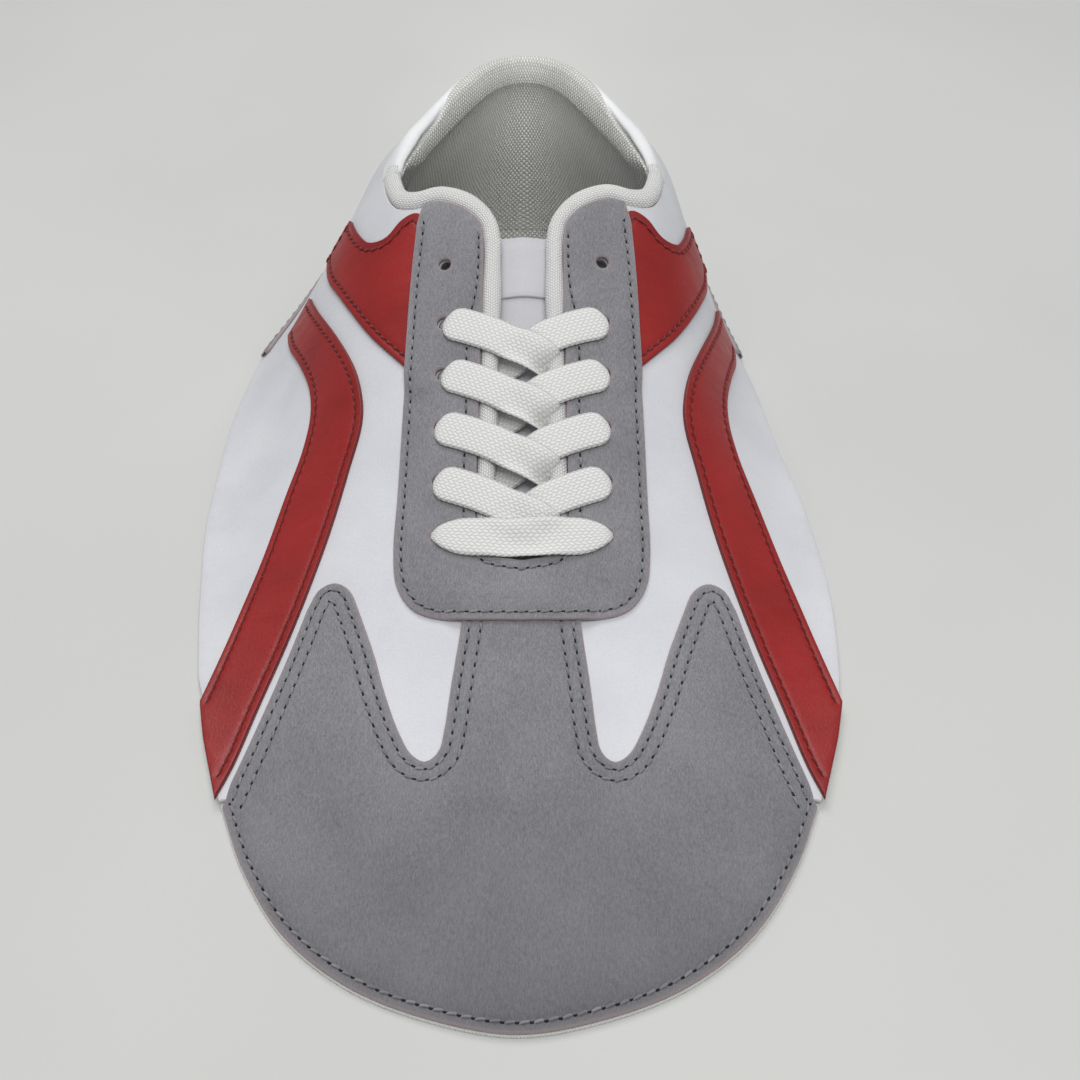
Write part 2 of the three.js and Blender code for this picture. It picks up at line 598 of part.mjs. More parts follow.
// linings
const liningLow = (x, v) => -liningDrop(x, v);
const liningHigh = (x, v) => LINING_T - liningDrop(x, v);
const VAMP_LINING_V = THROAT_V - OVERLAP;
const QUARTER_LINING_END = 284;
const LINING_FOOT = 1.2;        // the lining is trimmed this far above the leather's edge
const vampEdge = (side) => marginPath(side, VAMP_LINING_V - 2 * GAP, -LINING_OUTSET);
const vampOutline = [[0, -LINING_OUTSET], ...vampEdge(1), ...mirror(vampEdge(-1))];
add(upper, 'vamp_lining', sheet(vampOutline, liningLow, liningHigh), FABRIC);
SIDES.forEach(([name, side]) => {
  const foot = alongV(VAMP_LINING_V, QUARTER_LINING_END, (v) => lastingEdge(v, side) - LINING_FOOT, 7);
  const collar = alongV(COLLAR_V + 0.5, QUARTER_LINING_END, (v) => topline(v, side) + 1, 7).reverse();
  const facing = [...FACING_EDGE].reverse();
  const outline = flipX([[9, VAMP_LINING_V], ...foot, ...collar, ...facing], side);
  add(upper, `${name}_quarter_lining`, sheet(outline, liningLow, liningHigh, eyeletHoles(side, LINING_HOLE)), FABRIC);
});
const liningSeam = QUARTER_LINING_END + GAP;
const heelTop = alongV(liningSeam, 2 * BACK_V - liningSeam, (v) => -(topline(v) + 1), 6);
const heelFoot = alongV(liningSeam, 2 * BACK_V - liningSeam, (v) => -(lastingEdge(v) - LINING_FOOT), 7).reverse();
add(upper, 'heel_lining', sheet([...heelTop, ...heelFoot], liningLow, liningHigh), FABRIC);

// collar padding and the cover rolled over the topline
const collarPath = (inset) => alongV(COLLAR_V + inset, 2 * BACK_V - COLLAR_V - inset, (v) => -topline(v), 5.6);
const ROLL_R = (BASE_TOP + FOAM_T + COUNTER_DROP) / 2;
const ROLL_MID = BASE_TOP - ROLL_R;
const halfTurn = (radius, mid, count) => range(count + 1).map((k) => {
  const angle = (Math.PI * k) / count;
  return [-radius * Math.sin(angle), mid + radius * Math.cos(angle)];
});
const rollProfile = [...halfTurn(ROLL_R, ROLL_MID, 6), ...halfTurn(ROLL_R - LINING_T, ROLL_MID, 6).reverse()];
add(upper, 'collar_roll', sweep(collarPath(0), rollProfile), WHITE);
const foamHigh = BASE_H - GAP;
const foamLow = (below) => -COUNTER_DROP - FOAM_T * smooth(1 - below / FOAM_DEPTH) + LINING_T + GAP;
const foamR = ROLL_R - LINING_T - 1.5 * GAP;
const foamFront = halfTurn(foamR, ROLL_MID, 5).map(([a, b]) => [a, Math.min(b, foamHigh)]);
const foamBack = [6, 12, 18, 24, FOAM_DEPTH - 1].map((a) => [a, foamLow(a)]);
const foamProfile = [...foamFront, [1, foamLow(1)], ...foamBack, [FOAM_DEPTH - 1, foamHigh], [12, foamHigh]];
add(upper, 'collar_foam', sweep(collarPath(2), foamProfile), FOAM);

// heel stiffener and eyelet reinforcement, hidden between leather and lining
const COUNTER_FRONT = 240;
const COUNTER_HEIGHT = 32;
const counterTop = alongV(COUNTER_FRONT, 2 * BACK_V - COUNTER_FRONT, (v) => {
  const shoulder = smooth(Math.min(v - COUNTER_FRONT, 2 * BACK_V - COUNTER_FRONT - v) / 30);
  return -(lastingEdge(v) - COUNTER_HEIGHT * (0.55 + 0.45 * shoulder));
}, 7);
const counterFoot = alongV(COUNTER_FRONT, 2 * BACK_V - COUNTER_FRONT, (v) => -(lastingEdge(v) - 2), 7).reverse();
const counterLow = LINING_T + GAP - COUNTER_DROP;
add(upper, 'heel_counter', sheet([...counterTop, ...counterFoot], level(counterLow), level(counterLow + COUNTER_T)), BOARD);
SIDES.forEach(([name, side]) => {
  const low = LINING_T + 1.25 * GAP - STAY_DROP;
  const tape = [[12.5, 115.5], [29.5, 115.5], [29.5, 206], [24, 208.5], [13.4, 204]];
  const outline = flipX(tape, side);
  add(upper, `${name}_eyelet_tape`, sheet(outline, level(low), level(low + STAY_T), eyeletHoles(side)), BOARD);
});

// woven binding tube along the throat and the front of the collar
const BINDING_H = (BASE_TOP - STAY_DROP) / 2 + 0.4;
const tube = (radius, mid) => range(8).map((k) => {
  const angle = (Math.PI * k) / 4;
  return [radius * Math.cos(angle), mid + radius * Math.sin(angle)];
});
SIDES.forEach(([name, side]) => {
  const path = flipX(BINDING_PATH, side);
  add(upper, `${name}_throat_binding`, sweep(thin(path, level(BINDING_H)), tube(BINDING_R, BINDING_H)), LACE);
});

// ---- tongue: one padded piece sewn under the vamp at the bottom of the throat ----
const TONGUE_FRONT = THROAT_V - OVERLAP - 2;
const TONGUE_END = 205;
const tongueTop = (x, v) => -GAP + (TONGUE_TOP + GAP) * ramp(v, TONGUE_FRONT + 2, TONGUE_FRONT + 14);
const tongueOutline = (inset) => {
  const side = curve([[22 - inset, TONGUE_FRONT + inset], [27 - inset, 118], [31 - inset, 150], [32 - inset, 188]], 12);
  const tip = curve([[32 - inset, 188], [29.5 - inset, 199 - inset / 2], [20, TONGUE_END - 1 - inset], [0, TONGUE_END - inset]], 6);
  const half = [...side, ...tip.slice(1)];
  return [...half, ...mirror(half).slice(1)];
};
const below = (depth) => (x, v) => tongueTop(x, v) - depth;
const FOAM_TOP = TONGUE_SKIN_T + GAP;
const TONGUE_LINING = FOAM_TOP + TONGUE_FOAM_T + GAP;
add(tongue, 'tongue_outer', sheet(tongueOutline(0), below(TONGUE_SKIN_T), tongueTop), WHITE);
add(tongue, 'tongue_foam', sheet(tongueOutline(2.5), below(FOAM_TOP + TONGUE_FOAM_T), below(FOAM_TOP)), FOAM);
add(tongue, 'tongue_lining', sheet(tongueOutline(0.8), below(TONGUE_LINING + LINING_T), below(TONGUE_LINING)), FABRIC);
const PATCH_FRONT = 185.5;
const patchTip = curve([[20, PATCH_FRONT + 8], [18, 199.5], [8, 203.4], [0, TONGUE_END - 1.2]], 6);
const patchHalf = [[0, PATCH_FRONT], [20, PATCH_FRONT], ...patchTip];
const patchOutline = [...patchHalf, ...mirror(patchHalf).slice(1, -1)];
const patchLow = (x, v) => tongueTop(x, v) + GAP;
add(tongue, 'tongue_patch', sheet(patchOutline, patchLow, (x, v) => patchLow(x, v) + TONGUE_SKIN_T), WHITE);

// ---- shoelace: one flat cord, laced downwards through each eyelet ----
const HOLE_W = 2.4;            // the flat cord gathers to this width in an eyelet
const CROSS_W = 4;             // and folds to this width where two strands pass in the throat
const TAIL_X = 27;
const TAIL_W = 3.4;
const TAIL_END_V = 138;
const AGLET_L = 16;
const AGLET_T = 1.1;
const rowV = (row) => FIRST_EYELET_V + row * EYELET_PITCH;
const HOLE_H = (LACE_OVER + LACE_UNDER) / 2;
const THROAT_EDGE = 10;        // where a strand leaves the cover of the facing

// heights of a strand in the open throat, by distance from the centre line on its starting side
const UPPER_STRAND = [[6.8, -1.2], [5.6, 1], [4.4, 3], [0, 4], [-4.4, 4.7]];
const LOWER_STRAND = [[6.9, -1.4], [4.4, -0.6], [0, 1.9], [-4.4, 1.9], [-5.6, 2.6], [-6.6, 4.4]];

// points of one strand, from under the facing on one side to the eyelet above it on the other;
// each is [x, v, height, width, turn of the flat side]
function strand(row, from) {
  const v = rowV(row);
  const rise = (x) => v + (EYELET_PITCH * (THROAT_EDGE - x)) / (THROAT_EDGE + EYELET_X);
  const open = from > 0 ? UPPER_STRAND : LOWER_STRAND;
  const end = rowV(row + 1);
  return [
    [from * (EYELET_X - 2.6), v, LACE_UNDER, 3, 0],
    [from * 16, v, LACE_UNDER, 5.4, 0],
    [from * 12, v + 0.2, LACE_UNDER, 5.4, 0],
    [from * 8.6, rise(8.6), LACE_UNDER, CROSS_W, 0],
    ...open.map(([x, h]) => [from * x, rise(x), h, CROSS_W, 0]),
    [-from * 8.8, rise(-8.8), LACE_OVER, 5.6, 0],
    [-from * 12, rise(-12), LACE_OVER, LACE_W, 0],
    [-from * (EYELET_X - 5), rise(5 - EYELET_X), LACE_OVER, LACE_W * 0.9, 0],
    [-from * (EYELET_X - 1.8), rise(1.8 - EYELET_X), LACE_OVER, 3.6, 0],
    [-from * EYELET_X, end, HOLE_H + 1.2, HOLE_W, 0],
    [-from * EYELET_X, end, HOLE_H - 1.2, HOLE_W, 0],
  ];
}

function halfLace(side) {
  const first = rowV(0);
  const bar = [
    [side * 12, first, LACE_OVER, LACE_W, 0],
    [side * (EYELET_X - 5), first, LACE_OVER, LACE_W * 0.9, 0],
    [side * (EYELET_X - 1.8), first, LACE_OVER, 3.6, 0],
    [side * EYELET_X, first, HOLE_H + 1.2, HOLE_W, 0],
    [side * EYELET_X, first, HOLE_H - 1.2, HOLE_W, 0],
  ];
  const strands = range(LACED_ROWS - 1).flatMap((row) => strand(row, row % 2 === 0 ? side : -side));
  const end = LACED_ROWS % 2 === 1 ? side : -side;
  const last = rowV(LACED_ROWS - 1);
  const tail = [
    [end * (EYELET_X + 2.2), last - 1.8, LACE_UNDER, HOLE_W - 0.4, (end * Math.PI) / 4],
    [end * TAIL_X, last - 7, LACE_UNDER, TAIL_W, (end * Math.PI) / 2],
    [end * TAIL_X, last - 20, LACE_UNDER, TAIL_W, (end * Math.PI) / 2],
    [end * TAIL_X, TAIL_END_V, LACE_UNDER, TAIL_W, (end * Math.PI) / 2],
  ];
  return [...bar, ...strands, ...tail];
}

// a flat ribbon through points of [x, v, height, width, turn]
function ribbon(points, thickness) {
  const stations = points.map(([x, v, h, width, turn]) => {
    return { width, turn, centre: place(x, v, h), frame: frameAt(x, v) };
  });
  const rings = stations.map(({ width, turn, centre, frame }, k) => {
    const before = stations[Math.max(0, k - 1)];
    const after = stations[Math.min(stations.length - 1, k + 1)];
    const tangent = after.centre.clone().sub(before.centre).normalize();
    const flat = frame.back.clone().multiplyScalar(Math.cos(turn)).addScaledVector(frame.across, Math.sin(turn));
    const side = flat.addScaledVector(tangent, -flat.dot(tangent)).normalize();
    const thick = tangent.clone().cross(side);
    const corners = [[-1, -1], [1, -1], [1, 1], [-1, 1]];
    return corners.map(([a, b]) => centre.clone()
      .addScaledVector(side, (a * width) / 2).addScaledVector(thick, (b * thickness) / 2));
  });
  return skin(rings);
}

add(upper, 'shoelace', ribbon([...halfLace(-1).reverse(), ...halfLace(1)], LACE_T), LACE);
SIDES.forEach(([name, side]) => {
  const start = TAIL_END_V - GAP;
  const ends = [start, start - AGLET_L / 2, start - AGLET_L];
  const points = ends.map((v) => [side * TAIL_X, v, LACE_UNDER, TAIL_W, (side * Math.PI) / 2]);
  add(upper, `${name}_aglet`, ribbon(points, AGLET_T), PLASTIC);
});

// ---- sewing threads, one run of thread to each row of stitches ----
const onOverlay = level(OVER_TOP);
const wingRow = (inset) => shift(WING_EDGE.slice(1, -2), inset);
const toeRow = shift([...mirror(TOE_ARC), ...TOE_ARC.slice(1)], STITCH_INSET);
add(upper, 'toe_edge_thread', thread(toeRow, onOverlay), GREY_THREAD);
SIDES.forEach(([name, side]) => {
  [['outer', STITCH_INSET], ['inner', STITCH_INSET + DOUBLE_ROW]].forEach(([row, inset]) => {
    add(upper, `${name}_wing_thread_${row}`, thread(flipX(wingRow(inset), side), onOverlay), GREY_THREAD);
  });
});
const stayRow = shift(STAY_OUTER, STITCH_INSET);
add(upper, 'eyestay_thread', thread([...mirror(stayRow), ...stayRow.slice(1)], stayHigh), GREY_THREAD);
const throatRow = curve([[14.2, 200], [14.4, 150], [14, 122], [10, 112.4], [0, 109.6]], 5);
add(upper, 'throat_thread', thread([...throatRow, ...mirror(throatRow).slice(1)], stayHigh), GREY_THREAD);
const panelRow = shift(PANEL_OUTLINE, -STITCH_INSET);
const stripeRows = [shift(STRIPE_OUTER, -STITCH_INSET), shift(STRIPE_INNER, -STITCH_INSET)];
SIDES.forEach(([name, side]) => {
  add(upper, `${name}_collar_panel_thread`, thread(flipX(panelRow.slice(2, -2), side), bandHigh), RED_THREAD);
  add(upper, `${name}_stripe_thread_outer`, thread(flipX(stripeRows[0], side), bandHigh), RED_THREAD);
  add(upper, `${name}_stripe_thread_inner`, thread(flipX(stripeRows[1], side), bandHigh), RED_THREAD);
});
const foxingRow = shift(FOXING_TOP, STITCH_INSET);
add(upper, 'heel_foxing_thread', thread(foxingRow, onOverlay), GREY_THREAD);

// the origin is the middle of the footprint, on the table
const box = new THREE.Box3().setFromObject(model);
model.position.set(-(box.min.x + box.max.x) / 2, -(box.min.y + box.max.y) / 2, -box.min.z);

export default model;
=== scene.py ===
"""Stitched upper of a bowling shoe, right foot, before lasting: the visual model round the CAD frame.

Every leather and fabric piece is drawn flat, as a pattern, in millimetres: x is the distance across
the sheet from its centre line (negative on the lateral side) and v the run back from the toe.
place(x, v, h) bends the pattern round the foot, h above the inner face of the lining.
"""
import math

import bpy
import numpy as np
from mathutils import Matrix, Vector, geometry


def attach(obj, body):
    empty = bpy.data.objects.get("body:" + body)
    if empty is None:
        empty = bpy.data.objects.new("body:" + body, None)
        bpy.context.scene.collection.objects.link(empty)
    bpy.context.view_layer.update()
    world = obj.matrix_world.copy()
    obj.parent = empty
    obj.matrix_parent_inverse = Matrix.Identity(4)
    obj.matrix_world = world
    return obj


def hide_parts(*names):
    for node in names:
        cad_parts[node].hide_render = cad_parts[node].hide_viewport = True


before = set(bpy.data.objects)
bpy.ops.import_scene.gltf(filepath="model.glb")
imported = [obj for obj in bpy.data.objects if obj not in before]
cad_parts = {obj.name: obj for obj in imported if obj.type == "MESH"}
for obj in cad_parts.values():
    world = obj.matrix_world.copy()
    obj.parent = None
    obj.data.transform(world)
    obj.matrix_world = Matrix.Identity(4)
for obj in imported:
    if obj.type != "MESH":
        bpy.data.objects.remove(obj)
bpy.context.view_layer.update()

MM = 0.001
SHIFT = np.array([3.753, -142.032, 0.048])     # from the pattern's place to the row frame, mm

# ---- camera: it stands in front of the toe and looks down at the instep ----
CAMERA_AT = (0.0083, -0.2430, 0.2460)
CAMERA_PITCH = 44.0                             # degrees up from straight down
CAMERA_ANGLE = 46.73                            # field of view, degrees

camera = bpy.data.objects.new("camera", bpy.data.cameras.new("camera"))
bpy.context.scene.collection.objects.link(camera)
camera.location = CAMERA_AT
camera.rotation_euler = (math.radians(CAMERA_PITCH), 0.0, 0.0)
camera.data.angle = math.radians(CAMERA_ANGLE)
camera.data.clip_start = 0.01
bpy.context.scene.camera = camera

# ---- sizes shared with the frame, mm ----
LINING_T = 0.8
BASE_TOP = 2.35                 # top of the white leather above the lining's inner face
OVER_TOP = 3.55                 # top of an overlay sewn onto it
FOAM_T, FOAM_DEPTH = 5.0, 31.0
STAY_DROP, COUNTER_DROP = 1.125, 1.15
RIDE = 5.0                      # run over which a piece climbs onto the piece under it
RIDE_H = 1.2
THROAT_V, EYELET_X, FIRST_EYELET_V, EYELET_PITCH = 112.0, 21.2, 119.5, 14.6
LACED_ROWS, TOP_EYELET_V, EYELET_R = 5, 194.5, 1.6
COLLAR_V, SIDE_END_V, BACK_V = 228.0, 240.0, 320.0
TONGUE_FRONT, TONGUE_END = 104.0, 205.0
STITCH_INSET, DOUBLE_ROW, STITCH_PITCH = 2.0, 2.8, 2.9
COLLAR_FRONT = COLLAR_V - 1.0
PAD_GROWS = 15.0                # run over which the collar padding reaches its full thickness
SEAM = 0.06                      # half the slit where two halves meet at the heel and the toe
SIDES = (("lateral", -1), ("medial", 1))


def clamp(value, low, high):
    return np.minimum(high, np.maximum(low, value))


def smooth(t):
    s = clamp(t, 0.0, 1.0)
    return s * s * (3 - 2 * s)


def ramp(value, start, end):
    return smooth((np.asarray(value, float) - start) / (end - start))


def unit(vectors):
    """Vectors along the last axis, made 1 long."""
    return vectors / np.maximum(1e-9, np.linalg.norm(vectors, axis=-1, keepdims=True))


def left_of(directions):
    """Pattern directions turned a quarter to the left."""
    return np.stack([-directions[..., 1], directions[..., 0]], -1)


# ---- the shape of the upper: cross sections along the foot ----
# v, crown height, shoulder half width, shoulder height, lateral and medial half width on the
# table, how steep the wall starts and ends compared with its own slope
STATIONS = np.array([
    [0, 0, 26, 0, 64, 64, 0.5, 0.45],
    [26, 0, 29, 0, 68, 67, 0.5, 0.45],
    [55, 3, 32, 2.2, 73, 72, 0.5, 0.45],
    [85, 9, 35, 7, 79, 78, 0.5, 0.45],
    [115, 17, 36, 13.5, 84, 80, 0.5, 0.45],
    [145, 29, 36, 23, 87, 78, 0.5, 0.5],
    [173, 41, 36, 33, 87, 73, 0.5, 0.6],
    [200, 52, 37, 45, 84.5, 69, 0.6, 0.8],
    [222, 60.5, 37.5, 56.5, 79, 64.5, 0.8, 0.9],
    [240, 64.5, 34.8, 61, 71, 60, 0.85, 0.97],
])
HEEL = (73.0, 35.0, 69.0, 41.0, 0.82, 1.0)
HEEL_TAPER = 0.17               # how much straighter than an ellipse the sides run into the heel


def station(column, v):
    rows, last = STATIONS, len(STATIONS) - 1
    i = int(clamp(np.searchsorted(rows[:, 0], v, side="right") - 1, 0, last - 1))
    slopes = np.diff(rows[:, column]) / np.diff(rows[:, 0])

    def knot(k):
        if k in (0, last):
            return slopes[0 if k == 0 else last - 1]
        before, after = slopes[k - 1], slopes[k]
        return 0.0 if before * after <= 0 else 2 * before * after / (before + after)

    step = rows[i + 1, 0] - rows[i, 0]
    t = float(clamp((v - rows[i, 0]) / step, 0, 1))
    rise = rows[i, column] * (1 + 2 * t) * (1 - t) ** 2 + rows[i + 1, column] * t * t * (3 - 2 * t)
    return rise + step * (knot(i) * t * (1 - t) ** 2 + knot(i + 1) * t * t * (t - 1))


def arc(a, b, leave, arrive, shares):
    """Points of one cubic arc at shares of its length, carried on straight past its end."""
    reach = math.hypot(b[0] - a[0], b[1] - a[1])
    t = np.linspace(0, 1, 65)
    wa, wb = (1 + 2 * t) * (1 - t) ** 2, t * t * (3 - 2 * t)
    wl, wr = reach * t * (1 - t) ** 2, reach * t * t * (t - 1)
    across = wa * a[0] + wb * b[0] + wl * math.cos(leave) + wr * math.cos(arrive)
    up = wa * a[1] + wb * b[1] - wl * math.sin(leave) - wr * math.sin(arrive)
    run = np.concatenate([[0], np.cumsum(np.hypot(np.diff(across), np.diff(up)))])
    want = shares * run[-1]
    past = np.maximum(0, want - run[-1])
    points = np.stack([np.interp(want, run, across), np.interp(want, run, up)], -1)
    return points + past[:, None] * np.array([math.cos(arrive), -math.sin(arrive)]), run[-1]


CELLS = 44                       # grid cells across the crown, and across the wall
CROWN_SHARES = np.linspace(0, 1, CELLS + 1)
WALL_SHARES = np.arange(int(CELLS * 1.1) + 1) / CELLS


def section(crown, shoulder, shoulder_height, foot, start, end):
    top = math.atan2(crown - shoulder_height, shoulder)
    wall = math.atan2(shoulder_height, foot - shoulder)
    turn = top + start * (wall - top)
    high, high_run = arc((0, crown), (shoulder, shoulder_height), 0, turn, CROWN_SHARES)
    low, low_run = arc((shoulder, shoulder_height), (foot, 0), turn, end * wall, WALL_SHARES)
    return np.concatenate([high, low[1:]]), high_run, low_run


def surface_grid(side):
    """Places of a dense grid of pattern points on one side, with the widths of crown and wall."""
    rows, widths = [], []
    back, back_crown, back_wall = section(*HEEL)
    for v in np.arange(0.0, BACK_V + 0.5, 1.0):
        at = min(v, SIDE_END_V)
        foot = station(4 if side < 0 else 5, at)
        values = [station(c, at) for c in (1, 2, 3)]
        here, crown, wall = section(*values, foot, station(6, at), station(7, at))
        turned = clamp((v - SIDE_END_V) / (BACK_V - SIDE_END_V), 0, 1)
        widths.append([crown + turned * (back_crown - crown), wall + turned * (back_wall - wall)])
        c, s = math.cos(turned * math.pi / 2), math.sin(turned * math.pi / 2)
        if v <= SIDE_END_V:
            rows.append(np.stack([side * here[:, 0], np.full(len(here), v), here[:, 1]], -1))
        else:
            narrow = c * (1 - HEEL_TAPER * 2 * s * c)
            rows.append(np.stack([side * here[:, 0] * narrow, SIDE_END_V + back[:, 0] * s,
                                  here[:, 1] * c * c + back[:, 1] * s * s], -1))
    return np.array(rows), np.array(widths)


def eased(grid):
    """The same grid with the turn into the heel rounded off along the run."""
    reach = 12
    kernel = np.exp(-0.5 * (np.arange(-reach, reach + 1) / 5.0) ** 2)
    kernel /= kernel.sum()
    padded = np.concatenate([2 * grid[:1] - grid[reach:0:-1], grid, 2 * grid[-1:] - grid[-2:-reach - 2:-1]])
    soft = sum(k * padded[i:i + len(grid)] for i, k in enumerate(kernel))
    v = np.arange(len(grid), dtype=float)
    share = (ramp(v, 214, 228) * ramp(v, 268, 252))[:, None, None]
    return grid + share * (soft - grid)


def normals_of(grid, side):
    across = np.gradient(grid, axis=1) * side
    back = np.gradient(grid, axis=0)
    normal = np.cross(across, back)
    normal[:int(SIDE_END_V), 0, 0] = 0
    normal[-1, :, 0] = 0
    return unit(normal)


def side_grid(side):
    grid, widths = surface_grid(side)
    grid = eased(grid)
    return grid, normals_of(grid, side), widths


GRIDS = {side: side_grid(side) for side in (-1, 1)}


def fold(x, v):
    """Past BACK_V the pattern carries on round the heel to the medial side."""
    over = v > BACK_V
    return np.where(over, -x, x), np.where(over, 2 * BACK_V - v, v)


def width_of(part, v, side):
    """Width of the crown (0) or the wall (1) of the sheet at run v."""
    widths = GRIDS[side][2][:, part]
    return np.interp(v, np.arange(len(widths)), widths)


def topline(v, side=-1):
    return width_of(0, v, side)


def lasting_edge(v, side=-1):
    return topline(v, side) + width_of(1, v, side)


def both_sides(function, x, v):
    return np.where(x < 0, function(v, -1), function(v, 1))


def place(x, v, h):
    """Pattern points to points in the row frame, mm."""
    x, v, h = np.broadcast_arrays(*(np.asarray(a, float) for a in (x, v, h)))
    shape = x.shape
    x, v = fold(x.ravel(), v.ravel())
    out = np.empty((len(x), 3))
    for side in (-1, 1):
        chosen = (x < 0) if side < 0 else (x >= 0)
        if not chosen.any():
            continue
        grid, normal, _ = GRIDS[side]
        across, run = np.abs(x[chosen]), v[chosen]
        crown, wall = topline(run, side), width_of(1, run, side)
        column = np.where(across > crown, CELLS * (1 + (across - crown) / wall), CELLS * across / crown)
        i = clamp(np.floor(run), 0, grid.shape[0] - 2).astype(int)
        j = clamp(np.floor(column), 0, grid.shape[1] - 2).astype(int)
        fi, fj = (run - i)[:, None], (column - j)[:, None]

        def mixed(field):
            low = field[i, j] * (1 - fj) + field[i, j + 1] * fj
            high = field[i + 1, j] * (1 - fj) + field[i + 1, j + 1] * fj
            return low * (1 - fi) + high * fi

        out[chosen] = mixed(grid) + unit(mixed(normal)) * h.ravel()[chosen][:, None]
    return (out + SHIFT).reshape(shape + (3,))


# ---- flat drawing ----
def spline(points, spacing=1.2):
    """A smooth line through points, evenly spaced."""
    p = np.array(points, float)
    p = np.concatenate([2 * p[:1] - p[1:2], p, 2 * p[-1:] - p[-2:-1]])
    out = []
    for a, b, c, d in zip(p[:-3], p[1:-2], p[2:-1], p[3:]):
        steps = [max(1e-6, np.linalg.norm(q - r)) ** 0.5 for q, r in ((b, a), (c, b), (d, c))]
        t0, t1, t2, t3 = np.cumsum([0] + steps)
        t = np.linspace(t1, t2, 24, endpoint=False)[:, None]
        a1 = (t1 - t) / (t1 - t0) * a + (t - t0) / (t1 - t0) * b
        a2 = (t2 - t) / (t2 - t1) * b + (t - t1) / (t2 - t1) * c
        a3 = (t3 - t) / (t3 - t2) * c + (t - t2) / (t3 - t2) * d
        b1 = (t2 - t) / (t2 - t0) * a1 + (t - t0) / (t2 - t0) * a2
        b2 = (t3 - t) / (t3 - t1) * a2 + (t - t1) / (t3 - t1) * a3
        out.append((t2 - t) / (t2 - t1) * b1 + (t - t1) / (t2 - t1) * b2)
    return resample(np.concatenate(out + [p[-2:-1]]), spacing)


def run_along(path):
    """Run from a path's start to each of its points."""
    return np.concatenate([[0], np.cumsum(np.linalg.norm(np.diff(path, axis=0), axis=1))])


def resample(path, spacing):
    path = np.asarray(path, float)
    run = run_along(path)
    count = max(1, int(round(run[-1] / spacing)))
    at = np.linspace(0, run[-1], count + 1)
    return np.stack([np.interp(at, run, path[:, k]) for k in range(path.shape[1])], -1)


def shift(path, distance):
    """A copy of a path moved to its left."""
    path = np.asarray(path, float)
    before = path[np.maximum(0, np.arange(len(path)) - 1)]
    after = path[np.minimum(len(path) - 1, np.arange(len(path)) + 1)]
    return path + distance * left_of(unit(after - before))


def circle(count):
    """Points round a circle of radius 1."""
    angle = np.linspace(0, 2 * math.pi, count, endpoint=False)
    return np.stack([np.cos(angle), np.sin(angle)], -1)


def flip(path, side=-1):
    return np.asarray(path, float) * np.array([side, 1.0])


def mirror(path):
    return flip(path)[::-1]


def joined(*paths):
    """Paths end to end, without the doubled points where they meet."""
    out = [np.asarray(paths[0], float)]
    for path in paths[1:]:
        path = np.asarray(path, float)
        out.append(path[1:] if np.linalg.norm(out[-1][-1] - path[0]) < 1e-3 else path)
    return np.concatenate(out)


def along_v(start, end, x_at, spacing=1.5):
    v = np.linspace(start, end, max(2, int(abs(end - start) / spacing) + 1))
    return np.stack([x_at(v), v], -1)


def segments(path, closed):
    path = np.asarray(path, float)
    return (path, np.roll(path, -1, axis=0)) if closed else (path[:-1], path[1:])


def distance(points, path, closed=True):
    """Distance from each point to a path or outline."""
    a, b = segments(path, closed)
    out = []
    for part in np.array_split(points, max(1, len(points) * len(a) // 2000000)):
        ap = part[:, None] - a[None]
        ab = (b - a)[None]
        t = clamp((ap * ab).sum(-1) / np.maximum(1e-12, (ab * ab).sum(-1)), 0, 1)
        out.append(np.linalg.norm(ap - t[..., None] * ab, axis=-1).min(1))
    return np.concatenate(out)


def inside(points, outline):
    a, b = segments(outline, True)
    found = np.zeros(len(points), bool)
    for (ax, av), (bx, bv) in zip(a, b):
        crosses = (av > points[:, 1]) != (bv > points[:, 1])
        if crosses.any():
            at = ax + (points[crosses, 1] - av) * (bx - ax) / (bv - av)
            found[crosses] ^= points[crosses, 0] < at
    return found


def reach(points, outline):
    """How far points lie outside an outline."""
    return np.where(inside(points, outline), 0, distance(points, outline))


def medial(x, v):
    """Pattern points, those of the lateral side turned over onto the medial side."""
    return np.stack([np.abs(x), v], -1)


# ---- outlines, medial side: the lateral side is its mirror image ----
TOE_ROUND = spline([[-16, 2.6], [0, 0], [16, 2.6], [34, 9.4], [49, 20.6], [60, 36], [67, 51]])
TOE_ARC = joined([[0, 0]], TOE_ROUND[TOE_ROUND[:, 0] > 0.6])
WING_EDGE = joined(
    spline([[67, 51], [62, 70], [56.2, 91.5], [53.2, 103]]),
    spline([[53.2, 103], [50.5, 108.4], [46.5, 109.6], [42.6, 107], [39.6, 100.5]], 0.8),
    spline([[39.6, 100.5], [35.2, 88.7], [31.8, 78], [27.6, 67.5], [24.6, 62.4],
            [21.4, 60.6], [18.6, 63], [17.2, 70]], 0.8),
    spline([[17.2, 70], [16.2, 80], [14.6, 93], [13.8, 101.5]]))
TOE_HALF = joined(TOE_ARC, WING_EDGE)
TOE_OUTLINE = joined(TOE_HALF, resample([[13.8, 101.5], [-13.8, 101.5]], 1.5), mirror(TOE_HALF)[:-1])

